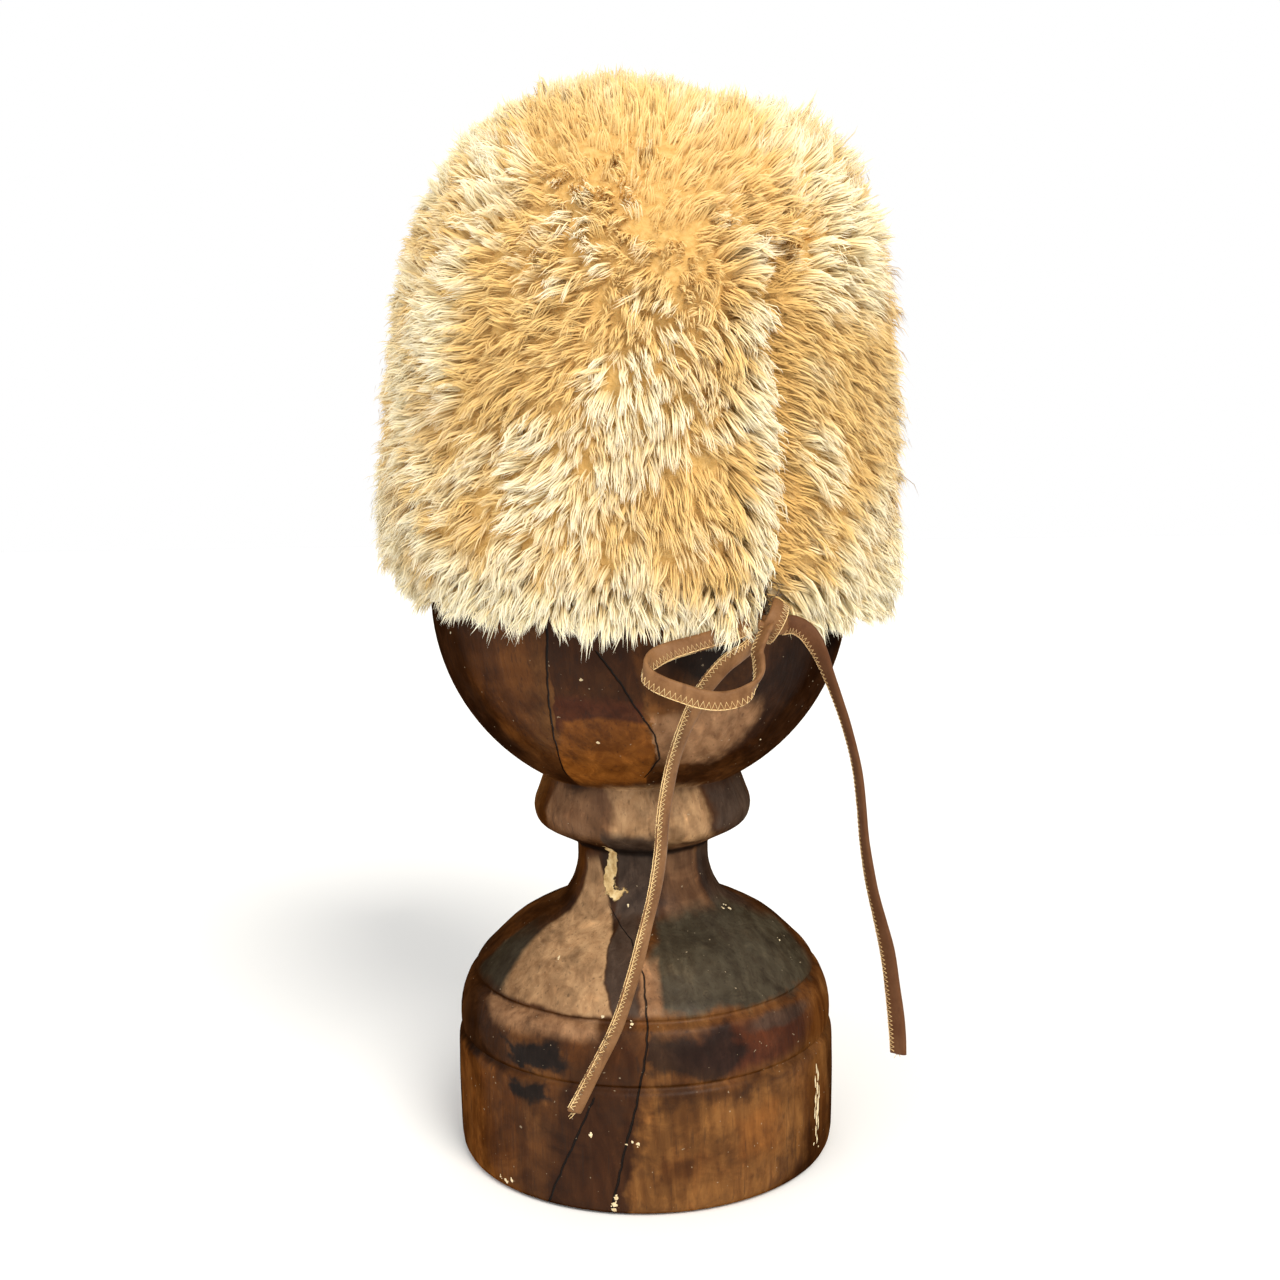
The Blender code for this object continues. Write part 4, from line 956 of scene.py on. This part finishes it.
# Staves and stains with straighter sides, and the painted shadow under the collar. A corner's softness, in mm, is that
# of the side that starts there.
WOOD_STAINS_AND_SHADOW = [
    # wander, colour, strength, then corners: degrees, mm up, softness
    (2, UMBER, 0.95, [(-24.2, 214, 0.5), (-23.5, 264, 4), (-6, 264, 1.5), (2, 214, 4)]),
    (3, PLUM, 0.90, [(-26, 202, 0.5), (-24.2, 218, 3), (1.5, 216, 1.5), (2.4, 202, 3)]),
    (2, RUST, 0.97, [(-37.5, 175, 2), (-31, 189, 0.7), (-27, 206.5, 1.2), (-12, 209.5, 1.2), (2.5, 206.5, 0.8), (4.6, 193, 1.0),
                     (2.0, 176, 4)]),
    (6, PINK, 0.96, [(4.4, 188, 0.8), (4.2, 210, 3.0), (18, 216, 4), (33, 214, 6), (35, 197, 6), (22, 187, 3)]),
    (7, BROWN, 0.90, [(-60, 147, 3), (-58, 168, 3), (-17, 173, 5), (-12, 147, 5)]),
    (6, UMBER, 0.28, [(-27, 147, 4), (-31, 176, 4), (-18, 176, 4), (-14, 147, 4)]),
    (6, TAN, 0.92, [(-14, 147, 4), (-19, 171, 5), (34, 171, 5), (40, 147, 5)]),
    (8, SMOKE, 0.85, [(44, 147, 5), (40, 172, 5), (86, 170, 9), (86, 147, 5)]),
    (4, SMOKE, 0.95, [(-21, 112, 2), (-21.5, 152, 3), (7, 152, 4), (10, 116, 3)]),
    (6, BROWN, 0.85, [(15, 112, 4), (19, 146, 3), (52, 146, 9), (54, 114, 6)]),
    (4, GREEN_BLACK, 0.95, [(-78, 85, 3), (-74, 104, 5), (-56, 105, 3), (-50, 84, 3)]),
    (2.5, TAN, 0.97, [(-53, 83.5, 3), (-59, 104, 4), (-56, 133, 4), (-41, 134, 1.5), (-18.2, 108, 0.8), (-10, 82.8, 1.2)]),
    (3, SMOKE, 0.92, [(-17, 106, 1.5), (-15, 120, 3), (-2, 112, 2), (-1.5, 83, 2), (-9.5, 83, 1.5)]),
    (6, SMOKE, 0.85, [(57, 108, 4), (55, 146, 5), (100, 146, 5), (100, 108, 4)]),
    (6, GREEN_BLACK, 0.97, [(4, 84, 2.0), (3, 102, 3), (9, 114, 4), (36, 116, 5), (74, 114, 6), (92, 100, 6), (74, 83, 2.0)]),
    (2, PINK, 0.80, [(-1.5, 84, 1), (-1.2, 102, 3), (6, 101, 2), (5, 84, 1.2)]),
    (3, PINK, 0.90, [(-52, 72, 3), (-59, 80.3, 1.0), (-14.5, 81.2, 2), (-14, 75, 3)]),
    (11, INK, 0.97, [(-43, 60, 2), (-45, 68, 2.5), (-26, 71, 3), (-22, 62, 2.5), (-32, 57.5, 1.5)]),
    (9, INK, 0.80, [(2, 61, 2), (2, 76, 3), (24, 77, 3), (32, 67, 4), (24, 59, 2.5)]),
    (6, CHESTNUT, 0.88, [(-78, -4, 4), (-78, 52, 2), (-42, 53, 3), (-40, -4, 5)]),
    (6, UMBER, 0.90, [(-31, -4, 3), (-24, 55, 3), (-1, 57, 3), (-5, -4, 5)]),
    (7, AMBER, 0.92, [(-5, -4, 3), (0, 54, 4), (34, 52, 4), (52, 46, 6), (54, 10, 6), (30, -4, 4)]),
    (9, INK, 0.95, [(-43, 45, 2), (-44, 52, 2), (-30, 54, 2), (-27, 46, 2.5), (-36, 42, 2)]),
    (9, UMBER, 0.75, [(2, 48, 3), (4, 56, 3), (46, 54, 4), (36, 49, 3)]),
    (9, WALNUT, 0.80, [(4, 14, 4), (6, 24, 4), (20, 26, 4), (16, 14, 4)]),
    (8, RUST, 0.55, [(24, 22, 5), (24, 40, 5), (40, 42, 5), (42, 22, 5)]),
    # The last band, over the front half from 138.5 to 142.5 mm up, is a painted shadow under the collar's lower edge
    (2, INK, 0.88, [(-90, 138.5, 1), (-90, 142.5, 1.5), (90, 142.5, 1.5), (90, 138.5, 1)]),
]
WOOD_CRACKS = [
    [(260, -23.0), (252, -23.3), (238, -23.9), (221, -25.3), (207, -26.8), (193, -29.2), (177, -35.2)],
    [(239, -11.5), (238, -10.9), (225, -5.3), (213, -0.8), (202, 3.8), (190, 6.3), (179, 0.9)],
    [(118, -28.0), (111, -15.4), (107, -6.3), (97, -0.3), (82, 0.6), (70, 0.1), (49, -2.9), (30, -6.2), (0, -10.6)],
    [(52, -14.6), (49, -15.3), (39, -18.3), (25, -22.7), (0, -30.2)],
    [(250, 141.0), (230, 143.0), (205, 139.0), (180, 144.0)],
    [(80, -152.0), (60, -149.0), (40, -153.0), (18, -147.0), (0, -149.0)],
    [(100, 108.0), (90, 111.0), (76, 109.0), (60, 113.0)],
]
CREAM = (0.74, 0.60, 0.36)
# Specks of pale paint, and a small white dot on the ball at 24.7 degrees, 230.5 mm up: degrees, mm up, mm across
SPECKS = [
    (-15.5, 226, 1.5), (-13.6, 198, 1.5), (-37.1, 99.8, 1.3), (-15.7, 35.3, 1.7), (-4.1, 33.6, 1.2), (-2.5, 32.7, 1.6),
    (-5.6, 32.4, 0.9), (-8.9, 8.5, 2.2), (-9.3, 5.4, 2.8), (-9.6, 3.0, 2.2), (-43.2, 5.9, 1.9), (-46.0, 4.4, 2.4),
    (-48.4, 4.9, 1.2), (67.0, 110.2, 2.2), (62.0, 111.0, 1.2), (-4.1, 80.6, 1.9), (-13.2, 83.3, 1.4),
    (24.7, 230.5, 1.3), (-11.7, 117.5, 1.2), (70.0, 97.0, 1.2), (-60.0, 240.0, 0.8), (44.0, 194.0, 0.9),
    (150.0, 60.0, 1.4), (-120.0, 95.0, 1.5), (170.0, 220.0, 1.2), (100.0, 30.0, 1.6), (-97.0, 20.0, 1.2),
    (132.0, 200.0, 1.1), (-160.0, 34.0, 1.5), (59.0, 12.0, 1.2), (62.5, 8.5, 0.9),
]
# Upright scratches through the stain: degrees, mm up, mm across, mm tall
SCRATCHES = [
    (60.6, 46.0, 1.0, 6.0), (61.6, 42.0, 1.3, 8.0), (59.7, 39.5, 0.9, 7.0), (61.0, 36.0, 2.0, 9.0), (62.3, 33.5, 0.8, 8.0),
    (60.0, 31.5, 1.7, 8.0), (61.5, 28.0, 2.3, 9.0), (59.4, 25.5, 0.9, 6.0), (60.8, 23.0, 2.0, 8.0), (62.0, 19.5, 0.9, 7.0),
    (60.3, 17.5, 1.3, 6.0), (61.2, 13.0, 1.0, 5.0),
]


def wood_material():
    """Stained and varnished wood: patches in degrees round and mm up, some of them painted shade, with grain, cracks
    and worn spots over them.
    """
    n = Nodes("dark_stained_wood")
    split = n.node("ShaderNodeSeparateXYZ")
    n.put(split.inputs[0], n.coords)
    x, y, z = split.outputs
    turn = n.math("MULTIPLY", n.math("ARCTAN2", x, n.math("MULTIPLY", y, -1.0)), 180 / math.pi)
    up = n.math("MULTIPLY", z, 1000.0)
    drift = n.vector("SUBTRACT", n.noise(42.0, 3.0, colour=True), (0.5, 0.5, 0.5))
    fine = n.vector("SUBTRACT", n.noise(210.0, 3.0, colour=True), (0.5, 0.5, 0.5))
    drift = n.vector("ADD", drift, n.vector("MULTIPLY", fine, (0.35, 0.35, 0.35)))
    place = n.node("ShaderNodeCombineXYZ")
    n.put(place.inputs[0], turn)
    n.put(place.inputs[1], up)
    place = place.outputs[0]

    broad = n.noise(16.0, 4.0, stretch=(1.0, 1.0, 0.55), distortion=0.5)
    tone = n.ramp(broad, [(0.30, (0.022, 0.009, 0.004)), (0.44, (0.058, 0.021, 0.006)), (0.55, (0.110, 0.040, 0.010)),
                          (0.66, (0.185, 0.078, 0.022)), (0.80, (0.290, 0.145, 0.055))])
    for at, high, wide, tall, soft, wander, colour, strength in WOOD_PATCHES:
        shifted = n.vector("ADD", place, n.vector("MULTIPLY", drift, (wander * 2.2, wander * 2.2, 0.0)))
        shifted = n.vector("SUBTRACT", shifted, (float(at), float(high), 0.0))
        shifted = n.vector("MULTIPLY", shifted, (1.0 / wide, 1.0 / tall, 0.0))
        tone = n.mix(n.blend(n.vector("LENGTH", shifted), 1.0 - soft, 1.0 + soft * 0.35, strength, 0.0), tone, colour)
    for wander, colour, strength, corners in WOOD_STAINS_AND_SHADOW:
        shifted = n.vector("ADD", place, n.vector("MULTIPLY", drift, (wander * 2.2, wander * 2.2, 0.0)))
        inside = None
        for (a, b, soft), (c, d, _) in zip(corners, corners[1:] + corners[:1]):
            across, rise = (c - a) * 1.5, d - b
            size = math.hypot(across, rise) * soft
            side = (rise * 1.5 / size, -across / size, 0.0)
            gap = n.math("SUBTRACT", n.vector("DOT_PRODUCT", shifted, side), side[0] * a + side[1] * b)
            inside = gap if inside is None else n.math("MINIMUM", inside, gap)
        tone = n.mix(n.blend(inside, -1.0, 1.0, 0.0, strength), tone, colour)

    streaks = n.noise(150.0, 5.0, stretch=(1.0, 1.0, 0.16), roughness=0.65, distortion=1.0)
    pores = n.noise(700.0, 3.0, stretch=(1.0, 1.0, 0.07))
    blots = n.noise(75.0, 4.0, roughness=0.6)
    rings = n.node("ShaderNodeTexWave", wave_type="RINGS", rings_direction="Y")
    n.put(rings.inputs["Vector"], n.vector("MULTIPLY", n.vector("ADD", n.coords, (0.05, 0.16, 0.05)), (1.0, 1.0, 0.42)))
    rings.inputs["Scale"].default_value = 62.0
    rings.inputs["Distortion"].default_value = 6.0
    rings.inputs["Detail"].default_value = 2.0
    rings.inputs["Detail Scale"].default_value = 0.8
    tone = n.mix(n.blend(rings.outputs["Fac"], 0.15, 0.95, 0.22, 0.0), tone, (0.36, 0.26, 0.20), "MULTIPLY")
    tone = n.mix(n.blend(streaks, 0.36, 0.58, 0.40, 0.0), tone, (0.40, 0.28, 0.20), "MULTIPLY")
    tone = n.mix(n.blend(streaks, 0.56, 0.75, 0.0, 0.8), tone, (1.5, 1.45, 1.4), "MULTIPLY")
    tone = n.mix(n.blend(blots, 0.54, 0.70, 0.0, 0.34), tone, (0.020, 0.010, 0.006))
    tone = n.mix(n.blend(blots, 0.26, 0.42, 0.8, 0.0), tone, (1.45, 1.4, 1.35), "MULTIPLY")
    mottle = n.noise(260.0, 4.0, roughness=0.7, stretch=(1.0, 1.0, 0.6))
    tone = n.mix(n.blend(mottle, 0.54, 0.70, 0.0, 0.24), tone, (0.018, 0.010, 0.007))
    tone = n.mix(n.blend(mottle, 0.28, 0.42, 0.8, 0.0), tone, (1.4, 1.4, 1.4), "MULTIPLY")
    shade = n.noise(28.0, 5.0, roughness=0.65, distortion=0.6)
    tone = n.mix(n.blend(shade, 0.44, 0.62, 0.0, 0.75), tone, (0.42, 0.38, 0.36), "MULTIPLY")
    tone = n.mix(n.blend(shade, 0.30, 0.44, 0.7, 0.0), tone, (1.25, 1.22, 1.20), "MULTIPLY")
    tone = n.mix(n.blend(pores, 0.60, 0.72, 0.0, 0.40), tone, (0.018, 0.010, 0.007))

    cracks = None
    for table in WOOD_CRACKS:
        top, foot = table[0][0], table[-1][0]
        lows = [at for _, at in table]
        low, span = min(lows) - 1, max(lows) - min(lows) + 2
        share = n.math("DIVIDE", n.math("SUBTRACT", up, float(foot)), float(top - foot))
        curve = n.node("ShaderNodeFloatCurve")
        line = curve.mapping.curves[0]
        marks = sorted(((high - foot) / (top - foot), (at - low) / span) for high, at in table)
        line.points[0].location, line.points[-1].location = marks[0], marks[-1]
        for mark in marks[1:-1]:
            line.points.new(*mark)
        for point in line.points:
            point.handle_type = "VECTOR"
        curve.mapping.update()
        n.put(curve.inputs["Value"], share)
        at = n.math("ADD", n.math("MULTIPLY", curve.outputs[0], span), low)
        wobble = n.math("MULTIPLY", n.math("SUBTRACT", n.noise(160.0, 2.0), 0.5), 1.3)
        gap = n.math("ABSOLUTE", n.math("SUBTRACT", n.math("ADD", turn, wobble), at))
        mask = n.blend(gap, 0.12, 0.42, 1.0, 0.0)
        inside = n.math("MULTIPLY", n.blend(share, 0.0, 0.03), n.blend(share, 0.97, 1.0, 1.0, 0.0))
        mask = n.math("MULTIPLY", mask, inside)
        cracks = mask if cracks is None else n.math("MAXIMUM", cracks, mask)
    tone = n.mix(n.math("MULTIPLY", cracks, 0.93), tone, (0.006, 0.004, 0.003))

    shifted = n.vector("SUBTRACT", n.vector("ADD", place, n.vector("MULTIPLY", drift, (48.0, 34.0, 0.0))), (-26.0, 131.5, 0.0))
    chip_gap = n.vector("LENGTH", n.vector("MULTIPLY", shifted, (1 / 6.0, 1 / 10.0, 0.0)))
    chip = n.blend(chip_gap, 0.86, 1.0, 1.0, 0.0)
    bare = n.ramp(n.noise(420.0, 3.0), [(0.3, (0.38, 0.23, 0.085)), (0.55, (0.64, 0.45, 0.21)), (0.8, (0.80, 0.66, 0.38))])
    tone = n.mix(chip, tone, bare)
    specks = n.blend(n.noise(520.0, 1.0), 0.765, 0.79, 0.0, 0.5)
    tone = n.mix(specks, tone, (0.40, 0.31, 0.20))

    shine = n.noise(60.0, 4.0)
    gloss = n.math("ADD", n.blend(shine, 0.25, 0.75, 0.36, 0.55), n.math("MULTIPLY", chip, 0.3), clamp=True)
    normal = n.bump(broad, 0.0022, 0.45)
    normal = n.bump(streaks, 0.0006, 0.45, normal)
    normal = n.bump(n.math("SUBTRACT", 1.0, cracks), 0.0014, 0.9, normal)
    normal = n.bump(n.math("SUBTRACT", 1.0, chip), 0.0012, 0.8, normal)
    normal = n.bump(pores, 0.0002, 0.35, normal)
    edge = n.node("ShaderNodeLayerWeight")
    facing = n.blend(edge.outputs["Facing"], 0.15, 0.60, 0.10, 0.0)
    n.shader.inputs["Specular IOR Level"].default_value = 0.08
    return n.done(tone, gloss, normal, Specular_IOR_Level=facing)


def stand_line():
    """The stand's outline from the middle of the foot to the top of the ball."""
    table = np.array(STAND_OUTLINE) / 1000
    line = through(table[4:], 2)
    seat = math.atan2(0.171 - BALL_CENTRE, 0.04365)
    turn = np.linspace(seat, math.pi / 2, 50)[1:]
    ball = np.column_stack([BALL_RADIUS * np.cos(turn), BALL_CENTRE + BALL_RADIUS * np.sin(turn)])
    return np.vstack([table[:4], line, ball])


def add_stand():
    line = stand_line()[1:-1]
    around = 160
    turn = np.linspace(0, 2 * math.pi, around, endpoint=False)
    ring = np.stack([np.sin(turn), -np.cos(turn)], axis=1)
    warp = 1 + 0.0009 * np.sin(2 * turn + 0.4) + 0.0006 * np.sin(5 * turn)
    points = []
    for r, z in line:
        worn = warp if z > 0.004 else np.ones(around)
        points.append(np.column_stack([ring * r * worn[:, None], np.full(around, z)]))
    points = np.vstack(points)
    faces = [face[::-1] for face in ring_faces(len(line), around)]
    builder = Builder()
    builder.add(points, [face[::-1] for face in faces])
    piece("turned_stand", builder.mesh("turned_stand"), [wood_material()], "wood", "wooden_stand")
    add_specks(stand_line())


def add_specks(line):
    """Small flat blobs of old paint on the wood, and a small white dot on the ball."""
    n = Nodes("old_paint")
    tone = n.ramp(n.noise(600.0, 3.0), [(0.3, (0.55, 0.40, 0.20)), (0.55, CREAM), (0.8, (0.88, 0.80, 0.60))])
    material = n.done(tone, 0.7, n.bump(n.noise(900.0, 2.0), 0.0003, 0.6))
    builder = Builder()
    order = np.argsort(line[:, 1], kind="stable")
    for degrees, high, wide, tall in [(*speck, speck[2]) for speck in SPECKS] + SCRATCHES:
        for k in range(3):
            a = math.radians(degrees) + (chance.normal(0, 0.3) * wide / 90 if k else 0.0)
            z = high / 1000 + (chance.normal(0, 0.4) * wide / 1000 if k else 0.0)
            r = np.interp(z, line[order, 1], line[order, 0])
            ahead = np.interp(z + 0.001, line[order, 1], line[order, 0]) - np.interp(z - 0.001, line[order, 1], line[order, 0])
            lean = unit(np.array([0.002, -ahead]))
            centre = np.array([math.sin(a) * r, -math.cos(a) * r, z])
            out = np.array([math.sin(a) * lean[0], -math.cos(a) * lean[0], lean[1]])
            side = np.array([math.cos(a), math.sin(a), 0.0])
            rise = np.cross(side, out)
            size = wide / 2000 * (1.0 if k == 0 else chance.uniform(0.3, 0.6))
            rim = 9
            wobble = size * chance.uniform(0.6, 1.25, rim)
            angles = np.linspace(0, 2 * math.pi, rim, endpoint=False)
            ring = []
            for t, s in zip(angles, wobble):
                ring.append(centre + side * math.cos(t) * s + rise * math.sin(t) * s * tall / wide - out * 0.00008)
            mid = [centre + (p - centre) * 0.6 + out * 0.00022 for p in ring]
            faces = [(i, (i + 1) % rim, rim + (i + 1) % rim, rim + i) for i in range(rim)]
            builder.add(ring + mid, faces + [tuple(rim + i for i in range(rim))])
    piece("paint_specks", builder.mesh("paint_specks"), [material], "wood")


def add_slit_threads():
    """Dark ends of sewing thread and backing at the slit and along the back seam."""
    dark = thread_material("dark_thread", (0.020, 0.012, 0.008), (0.075, 0.040, 0.020))
    builder = Builder()
    for n in range(46):
        share = chance.random()
        if n < 30:
            high = rim_length(SLIT_ANGLE) + chance.uniform(-0.002, 0.020)
            gap = chance.normal(0.02, 0.028)
        else:
            high = chance.uniform(0.045, 0.125)
            gap = chance.normal(0.0, 0.006)
        start, out, up, side = (v for v in crown_place(SLIT_ANGLE + gap, high, SKIN_IN))
        lean = out * chance.uniform(0.5, 1.0) + side * chance.normal(0, 0.5) + up * chance.normal(-0.3, 0.6)
        curl = np.cross(lean, out) + side * chance.normal(0, 0.8)
        reach = chance.uniform(0.006, 0.014)
        bits = [start + lean * reach * t + curl * reach * 0.35 * math.sin(3.4 * t) * t for t in np.linspace(0, 1, 7)]
        tube(builder, bits, 0.00014 if share < 0.7 else 0.00022, 4, 0)
    piece("slit_threads", builder.mesh("slit_threads"), [dark], "cloth")


add_camera()
add_studio()
add_ties()
add_fur()
add_slit_threads()
add_stand()

cloth = cloth_material()
backing = bpy.data.objects["crown_backing"]
for place in backing.material_slots:
    place.material = cloth
